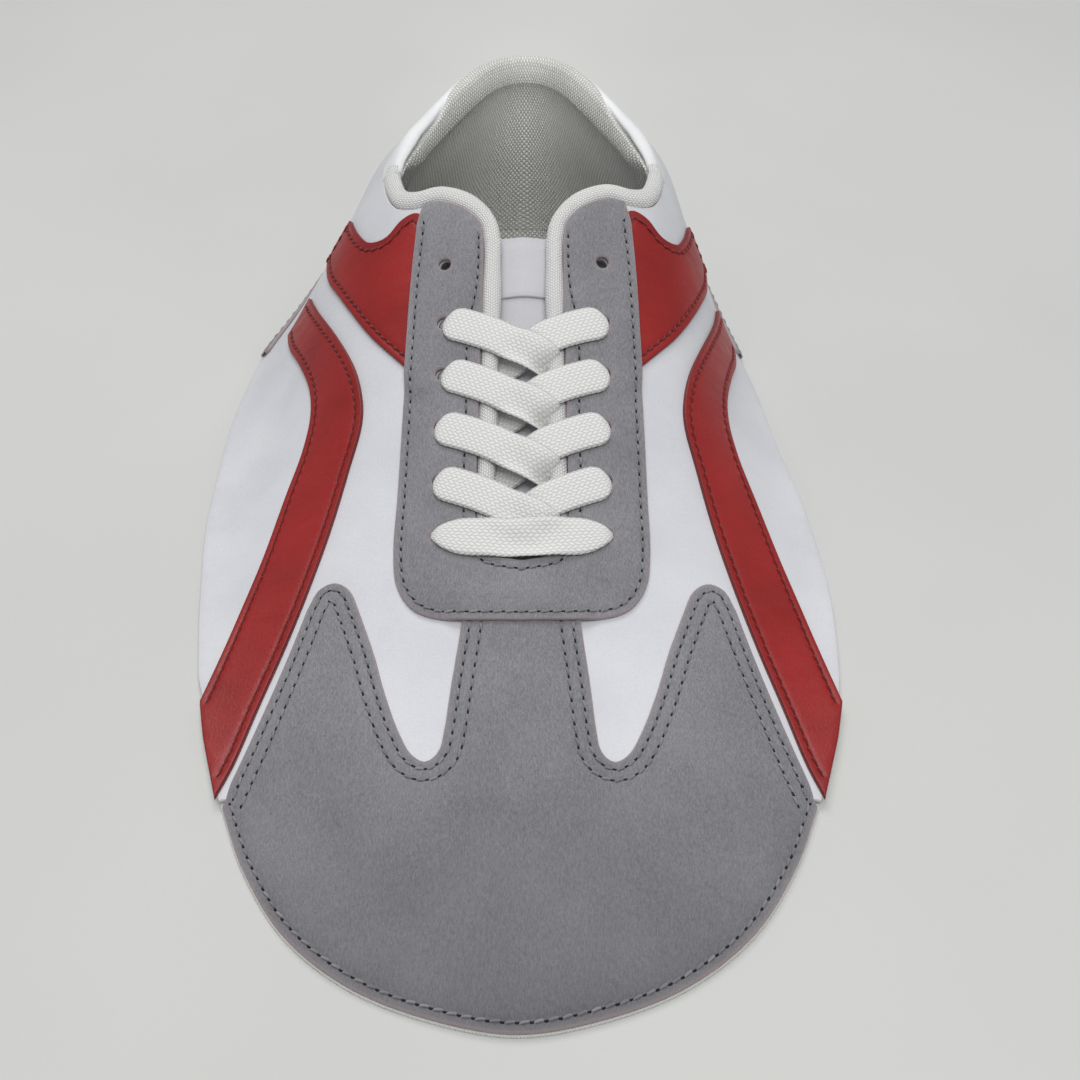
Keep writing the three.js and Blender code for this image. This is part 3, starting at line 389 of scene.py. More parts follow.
STAY_OUTER = spline([[0, 95.6], [17.8, 96.6], [26, 99.6], [30.6, 106.4], [32, 116],
                     [31.8, 132], [31.4, 160], [30.4, 188], [29, 207]])
BINDING_PATH = joined(
    spline([[6, 113.5], [8.7, 120], [8.9, 150], [8.5, 184], [8.5, 200]]),
    spline([[8.5, 200], [9.9, 206.5], [14.6, 211.6], [23, 214.8],
            [30, 214.4], [34.6, 216.2], [37.6, 221], [float(topline(COLLAR_V, 1)) + 0.3, COLLAR_V - 2.4]]))
FACING_EDGE = shift(BINDING_PATH, -2.35)

PANEL_OUTLINE = joined(
    spline([[25.6, 205], [29, 210.4], [33.6, 210], [38.4, 207.4], [44.6, 209], [50.6, 215], [57.5, 225]]),
    spline([[70, 221], [64, 210], [56.6, 200.4], [51, 192.6], [40.8, 178.4], [30.4, 166.6], [25.6, 161.4]]))
STRIPE_INNER = spline([[68.7, 52.6], [66, 61], [62.3, 77], [57.9, 93.4], [53.6, 109.7], [49.6, 126.2],
                       [46.2, 142.6], [43.6, 155], [43.9, 162], [47, 172.6], [54.4, 185.6], [68.5, 204],
                       [77, 213.5]])
STRIPE_OUTER = spline([[86.5, 207.5], [79.6, 197.6], [71.5, 187.4], [64.8, 176], [62.2, 166], [62.6, 155],
                       [65.3, 141], [68.4, 123], [72.3, 105], [76, 87], [77.5, 79.6]])
STRIPE_OUTLINE = joined(STRIPE_OUTER, [[74.6, 69.4]], STRIPE_INNER)
MARGIN_CORNER = spline([[68.0, 52.5], [71.4, 60.5], [74.0, 69.5], [77.0, 80]])
TOE_RUN_IN = 6.5                 # the white leather stops this far inside the toe's edge
TOE_DROP, TOE_SLOPE = 1.5, 5.5   # and lets the suede's edge down onto the lining, over this width
RIM = 0.35                       # the lining shows this far past the suede's edge
FOXING_FRONT = 214.0
FOXING_BACK = 2 * BACK_V - FOXING_FRONT


def margin_path(side, to, inset):
    back = along_v(88, to, lambda v: lasting_edge(v, side) - 0.3)
    return joined(shift(TOE_ARC, inset)[1:], MARGIN_CORNER, back)


def half_outline(side):
    collar = along_v(BACK_V - SEAM, COLLAR_V + 0.5, lambda v: topline(v, side) + 1)
    margin = margin_path(side, BACK_V - SEAM, TOE_RUN_IN)
    return joined([[SEAM, TOE_RUN_IN]], margin, collar, FACING_EDGE[::-1], [[7.5, 109], [SEAM, 109]])


def round_heel(edge, v):
    """An edge distance as a function of v, on the run that goes round the heel."""
    run = np.where(v > BACK_V, 2 * BACK_V - v, v)
    return -np.where(v > BACK_V, edge(run, 1), edge(run, -1))


def foxing_height(v):
    return 3 + 45 * smooth(np.minimum(v - FOXING_FRONT, FOXING_BACK - v) / 66)


FOXING_TOP = along_v(FOXING_FRONT + 0.5, FOXING_BACK - 0.5,
                     lambda v: round_heel(lasting_edge, v) + 1 + foxing_height(v), 1.2)
FOXING_FOOT = along_v(FOXING_BACK, FOXING_FRONT, lambda v: round_heel(lasting_edge, v) + 0.4)
FOXING_OUTLINE = joined(FOXING_TOP, FOXING_FOOT)

# ---- how each layer lies ----
def climb(points, outline):
    """How high a piece rides over the edge of the piece with this outline, which lies under it."""
    return RIDE_H * smooth((RIDE - reach(points, outline)) / (RIDE - 0.7))


def sway(x, v):
    """Slow waves that keep the leather from lying dead flat, mm."""
    calm = ramp(np.abs(x), 8, 30)
    waves = (np.sin(x / 11.0 + v / 17.0 + 0.6) + 0.8 * np.sin(x / 7.3 - v / 13.0 + 2.1)
             + 0.6 * np.sin(x / 19.0 + v / 9.5 + 4.0))
    return 0.13 * waves * (0.4 + 0.6 * calm)


def puff(x, v):
    """How far the padding pushes the white leather out below the topline."""
    fx, fv = fold(x, v)
    below = np.abs(fx) - both_sides(topline, fx, fv)
    return 1.5 * np.sin(math.pi * clamp(below / 27, 0, 1)) ** 1.3 * ramp(fv, 229, 246)


def lift(x, v):
    return sway(x, v) + puff(x, v)


def base_top(x, v):
    return BASE_TOP + lift(x, v)


def over_top(x, v):
    return OVER_TOP + lift(x, v)


def toe_top(x, v):
    """Top of the toe suede, let down along its outer edge."""
    depth = distance(medial(x, v), TOE_ARC, False)
    return over_top(x, v) - TOE_DROP * smooth((TOE_RUN_IN - 0.4 - depth) / TOE_SLOPE)


def stay_top(x, v):
    points = medial(x, v)
    return over_top(x, v) + np.maximum(climb(points, TOE_OUTLINE), climb(points, PANEL_OUTLINE))


def band_top(x, v):
    points = np.where((x < 0)[:, None], np.stack([x, v], -1), np.stack([-x, 2 * BACK_V - v], -1))
    return over_top(x, v) + climb(points, FOXING_OUTLINE)


def padding(run):
    """How far the collar padding has grown to its full thickness, run mm behind its front end."""
    return smooth(run / PAD_GROWS)


def lining_drop(x, v):
    """How far the lining is pushed inwards by what lies between it and the leather."""
    fx, fv = fold(x, v)
    across = np.abs(fx)
    below = across - both_sides(topline, fx, fv)
    foam = FOAM_T * smooth(1 - below / FOAM_DEPTH) * padding(fv - COLLAR_FRONT)
    counter = COUNTER_DROP * ramp(fv, 222, 234)
    facing = STAY_DROP * ramp(across, 38, 33) * ramp(fv, THROAT_V - 4, THROAT_V) * ramp(fv, 226, 216)
    return np.maximum(counter + foam, facing)


def lining_top(x, v):
    return LINING_T - lining_drop(x, v)


# ---- solids ----
SHARP = 0.5                      # turn in an outline that counts as a corner, radians
EDGE_ROUND = 0.4                 # radius of a cut edge
GROOVE_DEPTH, GROOVE_WIDTH = 0.3, 0.55
EDGE_STEP = 1.1                  # mesh spacing along cut edges and grooves
RAILS = (-1.3, -0.65, 0.0, 0.65, 1.3)             # mesh lines along a groove, from its middle
RAILS_CLEAR = 1.7                # plain grid points keep this far off a groove
HOLE_SIDES = 18
FINE = 1.6                       # mesh spacing of the pieces with much sewing
LEATHER_T, OVERLAY_T = 1.2, 1.1
CLOTH_EDGE = 0.25


def make(name, points, faces, materials, body="upper", node=(), marks=None, face_slots=None):
    """A mesh object from points in the row frame (mm) that rides on a body and stands for CAD nodes."""
    mesh = bpy.data.meshes.new(name)
    mesh.from_pydata((np.asarray(points) * MM).tolist(), [], [list(map(int, f)) for f in faces])
    for material in materials:
        mesh.materials.append(material)
    if face_slots is not None:
        mesh.polygons.foreach_set("material_index", np.asarray(face_slots, np.int32))
    mesh.polygons.foreach_set("use_smooth", np.ones(len(mesh.polygons), bool))
    for key, values in (marks or {}).items():
        values = np.asarray(values, np.float32)
        kind = "FLOAT" if values.ndim == 1 else "FLOAT_VECTOR"
        layer = mesh.attributes.new(key, kind, "POINT")
        layer.data.foreach_set("value" if values.ndim == 1 else "vector", values.ravel())
    mesh.update()
    piece = bpy.data.objects.new(name, mesh)
    bpy.context.scene.collection.objects.link(piece)
    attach(piece, body)
    finish = materials[0].name.split(".")[0]
    for one in ([node] if isinstance(node, str) else node):
        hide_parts(one)
    return piece


def cornered(outline, spacing):
    """An outline resampled between its corners, which stay where they are."""
    p = np.asarray(outline, float)
    keep = np.linalg.norm(p - np.roll(p, 1, axis=0), axis=1) > 1e-4
    p = p[keep]
    ahead, behind = np.roll(p, -1, axis=0) - p, p - np.roll(p, 1, axis=0)
    crossed = behind[:, 0] * ahead[:, 1] - behind[:, 1] * ahead[:, 0]
    turn = np.abs(np.arctan2(crossed, (behind * ahead).sum(1)))
    corners = np.nonzero(turn > SHARP)[0]
    if len(corners) == 0:
        return resample(np.concatenate([p, p[:1]]), spacing)[:-1]
    p = np.roll(p, -corners[0], axis=0)
    corners = np.append(corners - corners[0], len(p))
    p = np.concatenate([p, p[:1]])
    return np.concatenate([resample(p[a:b + 1], spacing)[:-1] for a, b in zip(corners[:-1], corners[1:])])


def inset(outline, depth):
    p = np.asarray(outline, float)
    behind, ahead = unit(p - np.roll(p, 1, axis=0)), unit(np.roll(p, -1, axis=0) - p)
    left = left_of(behind + ahead)
    left /= np.maximum(0.3, np.linalg.norm(left, axis=1, keepdims=True))
    return p + left * depth / np.maximum(0.35, (left * left_of(ahead)).sum(1, keepdims=True))


def counterclockwise(outline):
    a, b = segments(outline, True)
    return outline if (a[:, 0] * b[:, 1] - a[:, 1] * b[:, 0]).sum() > 0 else outline[::-1]


def mesh_points(ring, edge, spacing, rows, cuts):
    """Points inside an outline: an even grid, with lines along the edge, the grooves and the holes."""
    low, high = ring.min(0), ring.max(0)
    gx, gv = np.meshgrid(np.arange(low[0], high[0], spacing), np.arange(low[1], high[1], spacing * 0.87))
    gx = gx + (np.arange(gx.shape[0])[:, None] % 2) * spacing / 2
    grid = np.stack([gx.ravel(), gv.ravel()], -1)
    grid = grid[inside(grid, ring)]
    grid = grid[distance(grid, ring) > EDGE_STEP]
    for row in rows:
        grid = grid[distance(grid, row, False) > RAILS_CLEAR]
    parts = [grid] + [inset(ring, edge * share) for share in (0.25, 0.6, 1.0)]
    for row in rows:
        for rail in RAILS:
            side = shift(resample(row, EDGE_STEP), rail)
            side = side[inside(side, ring)]
            parts.append(side[distance(side, ring) > 0.75])
    points = np.concatenate(parts)
    points = points[inside(points, ring)]
    for centre, radius in cuts:
        points = points[np.linalg.norm(points - centre, axis=1) > radius + 0.5]
        points = np.concatenate([points, centre + (radius + 0.35) * circle(HOLE_SIDES)])
    return points


def triangulated(ring, points, cuts):
    """The area inside an outline, apart from its holes, in triangles: its points and its faces."""
    circles = [centre + radius * circle(HOLE_SIDES) for centre, radius in cuts]
    loops, start = [], 0
    for loop in [ring] + circles:
        n = len(loop)
        loops += [(start + k, start + (k + 1) % n) for k in range(n)]
        start += n
    corners = [Vector(p) for p in np.concatenate([ring] + circles + [points])]
    found = geometry.delaunay_2d_cdt(corners, loops, [], 0, 1e-4)
    flat = np.array([list(p) for p in found[0]])
    triangles = np.array([f for f in found[2] if len(f) == 3], int)
    middle = flat[triangles].mean(1)
    keep = inside(middle, ring)
    for centre, radius in cuts:
        keep &= np.linalg.norm(middle - centre, axis=1) > radius * 0.98
    triangles = triangles[keep]
    a, b, c = (flat[triangles[:, k]] for k in range(3))
    area = (b - a)[:, 0] * (c - a)[:, 1] - (b - a)[:, 1] * (c - a)[:, 0]
    triangles = triangles[np.abs(area) > 1e-5]
    used = np.unique(triangles)
    renumbered = -np.ones(len(flat), int)
    renumbered[used] = np.arange(len(used))
    return flat[used], renumbered[triangles]


def sheet(name, outline, top, thickness, material, node, body="upper", rows=(), holes=(), spacing=2.0,
          edge=EDGE_ROUND):
    """A sheet cut to an outline, with rounded cut edges, sewn-in grooves along rows, and punched holes."""
    ring = counterclockwise(cornered(outline, EDGE_STEP))
    cuts = [(np.array(centre, float), radius) for centre, radius in holes]
    flat, triangles = triangulated(ring, mesh_points(ring, edge, spacing, rows, cuts), cuts)
    x, v = flat[:, 0], flat[:, 1]
    near = distance(flat, ring)
    for centre, radius in cuts:
        near = np.minimum(near, np.maximum(0, np.linalg.norm(flat - centre, axis=1) - radius))
    t = clamp(1 - near / edge, 0, 1)
    height = top(x, v)
    groove = np.zeros(len(flat))
    for row in rows:
        groove = np.maximum(groove, np.exp(-(distance(flat, row, False) / GROOVE_WIDTH) ** 2))
    upper_h = height - edge * (1 - np.sqrt(1 - t * t)) - GROOVE_DEPTH * groove
    lower_h = height - thickness
    count = len(flat)
    places = np.concatenate([place(x, v, upper_h), place(x, v, lower_h)])
    pairs = np.concatenate([triangles[:, [0, 1]], triangles[:, [1, 2]], triangles[:, [2, 0]]])
    known = {tuple(p) for p in pairs.tolist()}
    faces = triangles.tolist() + (triangles[:, ::-1] + count).tolist()
    faces += [(p, p + count, q + count, q) for p, q in known if (q, p) not in known]
    cut = clamp(1 - near / 0.5, 0, 1)
    marks = {"chart": np.concatenate([np.stack([x, v, upper_h], -1), np.stack([x, v, lower_h], -1)]),
             "edge": np.concatenate([cut, np.where(near < 0.05, 1.0, 0.0)])}
    return make(name, places, faces, [material], body, node, marks)


def rings_along(path, profile):
    """A profile of [across, up] points, one for each path point, carried along a path on the sheet."""
    path = np.asarray(path, float)
    rings = []
    for k, (at, side) in enumerate(zip(path, shift(path, 1) - path)):
        shape = np.asarray(profile(k))
        rings.append(place(at[0] + shape[:, 0] * side[0], at[1] + shape[:, 0] * side[1], shape[:, 1]))
    return np.array(rings)


def tube_faces(first, count, size):
    """The faces between rings of size points each, numbered from first."""
    return [(a + k, a + size + k, a + size + (k + 1) % size, a + (k + 1) % size)
            for a in range(first, first + (count - 1) * size, size) for k in range(size)]


def tube_mesh(name, rings, materials, node, slots=None, chart=None):
    """Rings of points joined into a closed skin, with a cap at each end."""
    count, size = rings.shape[:2]
    faces = tube_faces(0, count, size)
    face_slots = [0 if slots is None else slots(k % size, size) for k in range(len(faces))]
    ends = np.concatenate([rings.reshape(-1, 3), rings[0].mean(0)[None], rings[-1].mean(0)[None]])
    first, last = count * size, count * size + 1
    for k in range(size):
        n = (k + 1) % size
        faces.append((first, k, n))
        faces.append((last, (count - 1) * size + n, (count - 1) * size + k))
        face_slots += [0, 0]
    if chart is None:
        around = np.linalg.norm(np.diff(np.concatenate([rings, rings[:, :1]], 1), axis=1), axis=-1)
        girth = np.concatenate([np.zeros((count, 1)), np.cumsum(around, 1)[:, :-1]], 1)
        run = np.repeat(run_along(rings.mean(1))[:, None], size, 1)
        chart = np.stack([girth, run, np.zeros((count, size))], -1)
    chart = np.concatenate([chart.reshape(-1, 3), chart[0, :1], chart[-1, :1]])
    return make(name, ends, faces, materials, "upper", node, {"chart": chart, "edge": np.zeros(len(ends))},
                face_slots)


# ---- materials: every one is procedural, in pattern millimetres ----
class Nodes:
    """A short way to write a node tree."""

    def __init__(self, name):
        self.material = bpy.data.materials.new(name)
        self.material.use_nodes = True
        self.tree = self.material.node_tree
        self.shader = self.tree.nodes["Principled BSDF"]

    def put(self, socket, value):
        if isinstance(value, bpy.types.NodeSocket):
            self.tree.links.new(value, socket)
        else:
            socket.default_value = value

    def add(self, kind, out=0, settings=None, **inputs):
        node = self.tree.nodes.new(kind)
        for key, value in (settings or {}).items():
            setattr(node, key, value)
        for key, value in inputs.items():
            socket = int(key[1:]) if key[1:].isdigit() else key.replace("_", " ")
            self.put(node.inputs[socket], value)
        return node.outputs[out]

    def math(self, operation, a, b=0.0, c=0.0):
        return self.add("ShaderNodeMath", settings={"operation": operation}, _0=a, _1=b, _2=c)

    def total(self, *terms):
        """The sum of values, each times its share."""
        products = [value if share == 1 else self.math("MULTIPLY", value, share) for value, share in terms]
        out = products[0]
        for product in products[1:]:
            out = self.math("ADD", out, product)
        return out

    def split(self, vector):
        """The x and v of a vector."""
        node = self.tree.nodes.new("ShaderNodeSeparateXYZ")
        self.put(node.inputs[0], vector)
        return node.outputs[0], node.outputs[1]

    def attribute(self, name, out="Vector"):
        return self.add("ShaderNodeAttribute", out, {"attribute_name": name})

    def scaled(self, vector, scale):
        return self.add("ShaderNodeVectorMath", settings={"operation": "MULTIPLY"}, _0=vector, _1=scale)

    def noise(self, vector, scale, detail=3.0, rough=0.55):
        return self.add("ShaderNodeTexNoise", "Fac", Vector=vector, Scale=scale, Detail=detail,
                        Roughness=rough)

    def remap(self, value, low, high, to_low=0.0, to_high=1.0):
        return self.add("ShaderNodeMapRange", "Result", Value=value, From_Min=low, From_Max=high,
                        To_Min=to_low, To_Max=to_high)

    def mix(self, share, a, b):
        node = self.tree.nodes.new("ShaderNodeMix")
        node.data_type = "RGBA"
        for socket, value in ((node.inputs[0], share), (node.inputs[6], a), (node.inputs[7], b)):
            self.put(socket, value)
        return node.outputs[2]

    def bump(self, height, depth_mm):
        return self.add("ShaderNodeBump", Height=height, Distance=depth_mm * MM, Strength=1.0)

    def finish(self, colour, rough, normal, **uniform):
        self.put(self.shader.inputs["Base Color"], colour)
        self.put(self.shader.inputs["Roughness"], rough)
        self.put(self.shader.inputs["Normal"], normal)
        for key, value in uniform.items():
            self.shader.inputs[key.replace("_", " ")].default_value = value
        return self.material


def rgb(*levels):
    """An sRGB colour of 0 to 255 as a linear one."""
    shares = [level / 255 for level in levels]
    return tuple(s / 12.92 if s < 0.04 else ((s + 0.055) / 1.055) ** 2.4 for s in shares) + (1.0,)


def suede(name):
    """Short nap in fine streaks along the run, with painted shade that darkens it towards the toe."""
    n = Nodes(name)
    at = n.attribute("chart")
    nap = n.noise(n.scaled(at, (3.4, 1.0, 1.0)), 1.0, 4.0, 0.7)
    grit = n.noise(at, 4.2, 2.0, 0.65)
    cloud = n.noise(at, 0.045, 3.0, 0.5)
    tone = n.total((nap, 0.5), (grit, 0.3), (cloud, 0.2))
    colour = n.mix(n.remap(tone, 0.36, 0.64), rgb(110, 109, 114), rgb(163, 162, 168))
    # painted shade: the suede's colour is darkened over the front 80 mm, most at the toe
    painted_toe_shade = n.math("MULTIPLY", n.remap(n.split(at)[1], 80.0, 0.0), 0.5)
    colour = n.mix(painted_toe_shade, colour, rgb(92, 91, 96))
    colour = n.mix(n.math("MULTIPLY", n.attribute("edge", "Fac"), 0.75), colour, rgb(176, 160, 162))
    height = n.total((nap, 0.7), (grit, 0.5))
    return n.finish(colour, n.remap(cloud, 0.3, 0.7, 0.9, 1.0), n.bump(height, 0.22),
                    Sheen_Weight=0.25, Sheen_Roughness=0.5, Specular_IOR_Level=0.2)


def leather(name, dark, light, edge, rough, grain=0.05):
    n = Nodes(name)
    at = n.attribute("chart")
    cells = n.add("ShaderNodeTexVoronoi", "Distance", Vector=at, Scale=1.5)
    fine = n.noise(at, 1.9, 3.0, 0.6)
    cloud = n.noise(at, 0.05, 3.0, 0.5)
    scuff = n.noise(n.scaled(at, (0.12, 0.5, 1.0)), 1.0, 4.0, 0.6)
    tone = n.total((cloud, 0.6), (fine, 0.4))
    colour = n.mix(n.remap(tone, 0.35, 0.65), dark, light)
    colour = n.mix(n.math("MULTIPLY", n.attribute("edge", "Fac"), 0.8), colour, edge)
    height = n.total((cells, 0.6), (fine, 0.5))
    polish = n.remap(scuff, 0.3, 0.7, rough - 0.07, rough + 0.09)
    return n.finish(colour, polish, n.bump(height, grain), Specular_IOR_Level=0.45)


def mesh_cloth(name, dark, light, cell, run, depth):
    """Coarse woven cloth: lozenge knots in offset rows."""
    n = Nodes(name)
    at = n.attribute("chart")
    wobble = n.math("MULTIPLY", n.math("SUBTRACT", n.noise(at, 0.35, 2.0), 0.5), 0.7)
    x, v = n.split(at)
    x = n.math("MULTIPLY", n.math("ADD", x, wobble), math.pi / cell)
    v = n.math("MULTIPLY", n.math("ADD", v, wobble), math.pi / run)
    one, other = (n.math("COSINE", n.math(way, x, v)) for way in ("ADD", "SUBTRACT"))
    knots = n.math("ABSOLUTE", n.math("MULTIPLY", one, other))
    fibre = n.noise(n.scaled(at, (5.0, 5.0, 5.0)), 1.0, 2.0)
    height = n.total((knots, 1), (fibre, 0.25))
    tone = n.total((knots, 0.75), (n.noise(at, 0.06, 2.0), 0.25))
    colour = n.mix(n.remap(tone, 0.1, 0.8), dark, light)
    return n.finish(colour, n.remap(knots, 0.0, 1.0, 1.0, 0.85), n.bump(height, depth),
                    Sheen_Weight=0.2, Sheen_Roughness=0.4, Specular_IOR_Level=0.25)


def braid(name, dark, light, column, pitch, depth):
    """Flat woven cord: columns of chevrons along the length."""
    n = Nodes(name)
    at = n.attribute("chart")
    x, v = n.split(at)
    across = n.math("DIVIDE", x, column)
    index = n.math("FLOOR", across)
    within = n.math("SUBTRACT", across, index)
    odd = n.math("MODULO", n.math("ABSOLUTE", index), 2.0)
    lean = n.math("SUBTRACT", n.math("MULTIPLY", odd, 2.0), 1.0)
    slant = n.math("MULTIPLY", lean, n.math("MULTIPLY", within, 0.5))
    phase = n.math("ADD", n.math("DIVIDE", v, pitch), slant)
    wave = n.math("ABSOLUTE", n.math("SINE", n.math("MULTIPLY", phase, math.pi)))
    rib = n.math("SINE", n.math("MULTIPLY", within, math.pi))
    height = n.math("MULTIPLY", wave, n.math("POWER", n.math("MAXIMUM", rib, 0.02), 0.5))
    fibre = n.noise(n.scaled(at, (6.0, 3.0, 6.0)), 1.0, 3.0)
    height = n.total((height, 1), (fibre, 0.35))
    colour = n.mix(n.remap(height, 0.1, 1.0), dark, light)
    return n.finish(colour, n.remap(fibre, 0.3, 0.7, 0.85, 1.0), n.bump(height, depth),
                    Sheen_Weight=0.3, Sheen_Roughness=0.4, Specular_IOR_Level=0.25)


def yarn(name, dark, light):
    n = Nodes(name)
    at = n.attribute("chart")
    ply = n.add("ShaderNodeTexWave", "Fac", Vector=n.scaled(at, (1.0, 1.0, 2.0)), Scale=1.6, Distortion=1.0)
    tone = n.total((ply, 0.4), (n.attribute("vary", "Fac"), 0.6))
    return n.finish(n.mix(tone, dark, light), n.remap(ply, 0.0, 1.0, 0.7, 0.9), n.bump(ply, 0.1),
                    Sheen_Weight=0.2, Specular_IOR_Level=0.3)


def hidden(name, dark, light, scale, depth, rough):
    """A plain mottled finish for CAD nodes that stay, in the object's own millimetres."""
    n = Nodes(name)
    at = n.scaled(n.add("ShaderNodeTexCoord", "Object"), (1000, 1000, 1000))
    fine = n.noise(at, scale, 4.0, 0.6)
    cells = n.add("ShaderNodeTexVoronoi", "Distance", Vector=at, Scale=scale)
    colour = n.mix(n.remap(fine, 0.3, 0.7), dark, light)
    polish = n.remap(cells, 0.0, 1.0, rough - 0.05, rough + 0.05)
    return n.finish(colour, polish, n.bump(n.math("ADD", fine, cells), depth))


GREY = suede("grey_suede")
WHITE = leather("white_leather", rgb(214, 215, 222), rgb(226, 227, 233), rgb(206, 203, 207), 0.46)
RED = leather("red_leather", rgb(139, 28, 28), rgb(163, 37, 37), rgb(104, 22, 22), 0.42, 0.06)
COLLAR = leather("collar_white", rgb(228, 229, 232), rgb(240, 241, 243), rgb(216, 214, 217), 0.6, 0.08)
MESH = mesh_cloth("mesh_lining", rgb(196, 197, 192), rgb(252, 252, 249), 2.0, 1.5, 0.36)
CLOTH = mesh_cloth("smooth_lining", rgb(206, 205, 202), rgb(232, 231, 229), 0.7, 0.6, 0.1)
TONGUE = leather("tongue_cover", rgb(196, 195, 202), rgb(208, 207, 213), rgb(187, 185, 190), 0.62, 0.05)
LACE = braid("lace_white", rgb(213, 212, 212), rgb(243, 243, 242), 0.85, 1.5, 0.15)
BINDING = braid("binding_white", rgb(214, 214, 214), rgb(250, 250, 250), 0.62, 0.9, 0.25)
# the second material of each pair is painted shade for the needle holes
GREY_SEWN = [yarn("grey_thread", rgb(128, 127, 132), rgb(176, 175, 180)),
             hidden("needle_hole", rgb(22, 22, 24), rgb(40, 39, 42), 3.0, 0.05, 0.95)]
RED_SEWN = [yarn("red_thread", rgb(118, 22, 24), rgb(150, 34, 36)),
            hidden("needle_hole_red", rgb(76, 13, 15), rgb(98, 19, 21), 3.0, 0.05, 0.9)]
BOARD = hidden("fibre_board", rgb(166, 150, 122), rgb(192, 176, 148), 0.8, 0.08, 0.88)
PLASTIC = hidden("clear_tip", rgb(206, 210, 214), rgb(228, 232, 235), 0.9, 0.02, 0.2)


# ---- sewing: one thread in separate stitches, each between two needle holes ----
THREAD_R, THREAD_SIDES = 0.34, 6
STITCH_SHARES = np.array([0.0, 0.14, 0.32, 0.5, 0.68, 0.86, 1.0])
STITCH_ARCH = np.sin(math.pi * STITCH_SHARES) ** 0.55
STITCH_RISE = 0.52               # a stitch's middle above its ends
HOLE_INSET = 0.36                # from the middle of a needle hole to the end of its stitch
NEEDLE_SIDES = 8
NEEDLE_LONG, NEEDLE_WIDE = 0.6, 0.46              # half length and half width of a needle hole


class Skin:
    """Points, faces and marks of many small bodies, gathered for one mesh."""

    def __init__(self):
        self.points, self.chart, self.vary, self.faces, self.slots, self.total = [], [], [], [], [], 0

    def add_points(self, x, v, h, vary):
        x, v, h = np.broadcast_arrays(x, v, h)
        self.points.append(place(x, v, h).reshape(-1, 3))
        self.chart.append(np.stack([x, v, h], -1).reshape(-1, 3))
        self.vary.append(vary)
        self.total += x.size

    def add_faces(self, faces, slot):
        self.faces += faces
        self.slots += [slot] * len(faces)


def sewing(name, row, top, materials, node):
    random = np.random.default_rng(sum(map(ord, name)))
    skin = Skin()
    row = resample(row, 0.2)
    run = run_along(row)
    count = max(1, int(run[-1] / STITCH_PITCH))
    starts = np.linspace(0, run[-1], count + 1)
    steps, sides = len(STITCH_SHARES), THREAD_SIDES

    def at(s):
        return np.stack([np.interp(s, run, row[:, 0]), np.interp(s, run, row[:, 1])], -1)

    def directions(s):
        ahead = unit(at(s + 0.2) - at(s - 0.2))
        return ahead, left_of(ahead)

    # the stitches: round threads that rise out of one hole and go down in the next
    length = (starts[1:] - starts[:-1] - 2 * HOLE_INSET)[:, None]
    s = starts[:-1, None] + HOLE_INSET + length * STITCH_SHARES
    s = (s + random.normal(0, 0.05, (count, 1))).ravel()
    side = directions(s)[1]
    skew = np.tile((STITCH_SHARES - 0.5) * 0.34, count) + np.repeat(random.normal(0, 0.04, count), steps)
    centre = at(s) + side * skew[:, None]
    arch = np.tile(STITCH_ARCH, count)
    height = top(centre[:, 0], centre[:, 1]) - GROOVE_DEPTH - 0.15 + STITCH_RISE * arch
    radius = (THREAD_R * (0.7 + 0.3 * arch))[:, None]
    cosine, sine = circle(sides).T
    skin.add_points(centre[:, None, 0] + side[:, None, 0] * radius * cosine,
                    centre[:, None, 1] + side[:, None, 1] * radius * cosine,
                    height[:, None] + 0.85 * radius * sine,
                    np.repeat(random.uniform(0, 1, count), steps * sides))
    for k in range(count):
        first = k * steps * sides
        rings = [[first + r * sides + q for q in range(sides)] for r in range(steps)]
        skin.add_faces([(low[q], low[(q + 1) % sides], high[(q + 1) % sides], high[q])
                        for low, high in zip(rings, rings[1:]) for q in range(sides)], 0)
        skin.add_faces([tuple(rings[0][::-1]), tuple(rings[-1])], 0)

    # the needle holes: dark plugs of painted shade, just proud of the groove
    base = skin.total
    middle = at(starts)
    ahead, side = directions(starts)
    size = random.uniform(0.85, 1.1, len(starts))[:, None]
    long, wide = (circle(NEEDLE_SIDES) * (NEEDLE_LONG, NEEDLE_WIDE)).T
    x, v = (middle[:, None, k] + size * (long * ahead[:, None, k] + wide * side[:, None, k]) for k in (0, 1))
    surface = top(middle[:, 0], middle[:, 1])[:, None] - GROOVE_DEPTH
    for off in (0.09, -0.3):
        skin.add_points(x, v, surface + off, np.zeros(x.size))
    sides = NEEDLE_SIDES
    for k in range(len(starts)):
        high = [base + sides * k + q for q in range(sides)]
        low = [q + sides * len(starts) for q in high]
        skin.add_faces([tuple(high), tuple(low[::-1])], 1)
        skin.add_faces([(low[q], low[(q + 1) % sides], high[(q + 1) % sides], high[q])
                        for q in range(sides)], 1)
    return make(name, np.concatenate(skin.points), skin.faces, materials, "upper", node,
                {"chart": np.concatenate(skin.chart), "vary": np.concatenate(skin.vary)}, skin.slots)


def wing_row(depth):
    """A row inside the wing's edge, run on to meet the row along the toe."""
    row = shift(WING_EDGE[2:-4], depth)
    longer = 0.55 * (depth - STITCH_INSET)
    return joined([row[0] + unit(row[0] - row[1]) * longer], row)


TOE_ROW = shift(joined(mirror(TOE_ARC), TOE_ARC), STITCH_INSET)
WING_ROWS = {"outer": wing_row(STITCH_INSET), "inner": wing_row(STITCH_INSET + DOUBLE_ROW)}
STAY_ROW = shift(STAY_OUTER, STITCH_INSET)
STAY_ROW = joined(mirror(STAY_ROW), STAY_ROW)
THROAT_HALF = spline([[12.3, 204], [12.2, 190], [12.8, 184], [14.3, 176], [14.4, 150], [14, 122],
                      [10, 112.4], [0, 109.6]])
THROAT_ROW = joined(THROAT_HALF, mirror(THROAT_HALF))


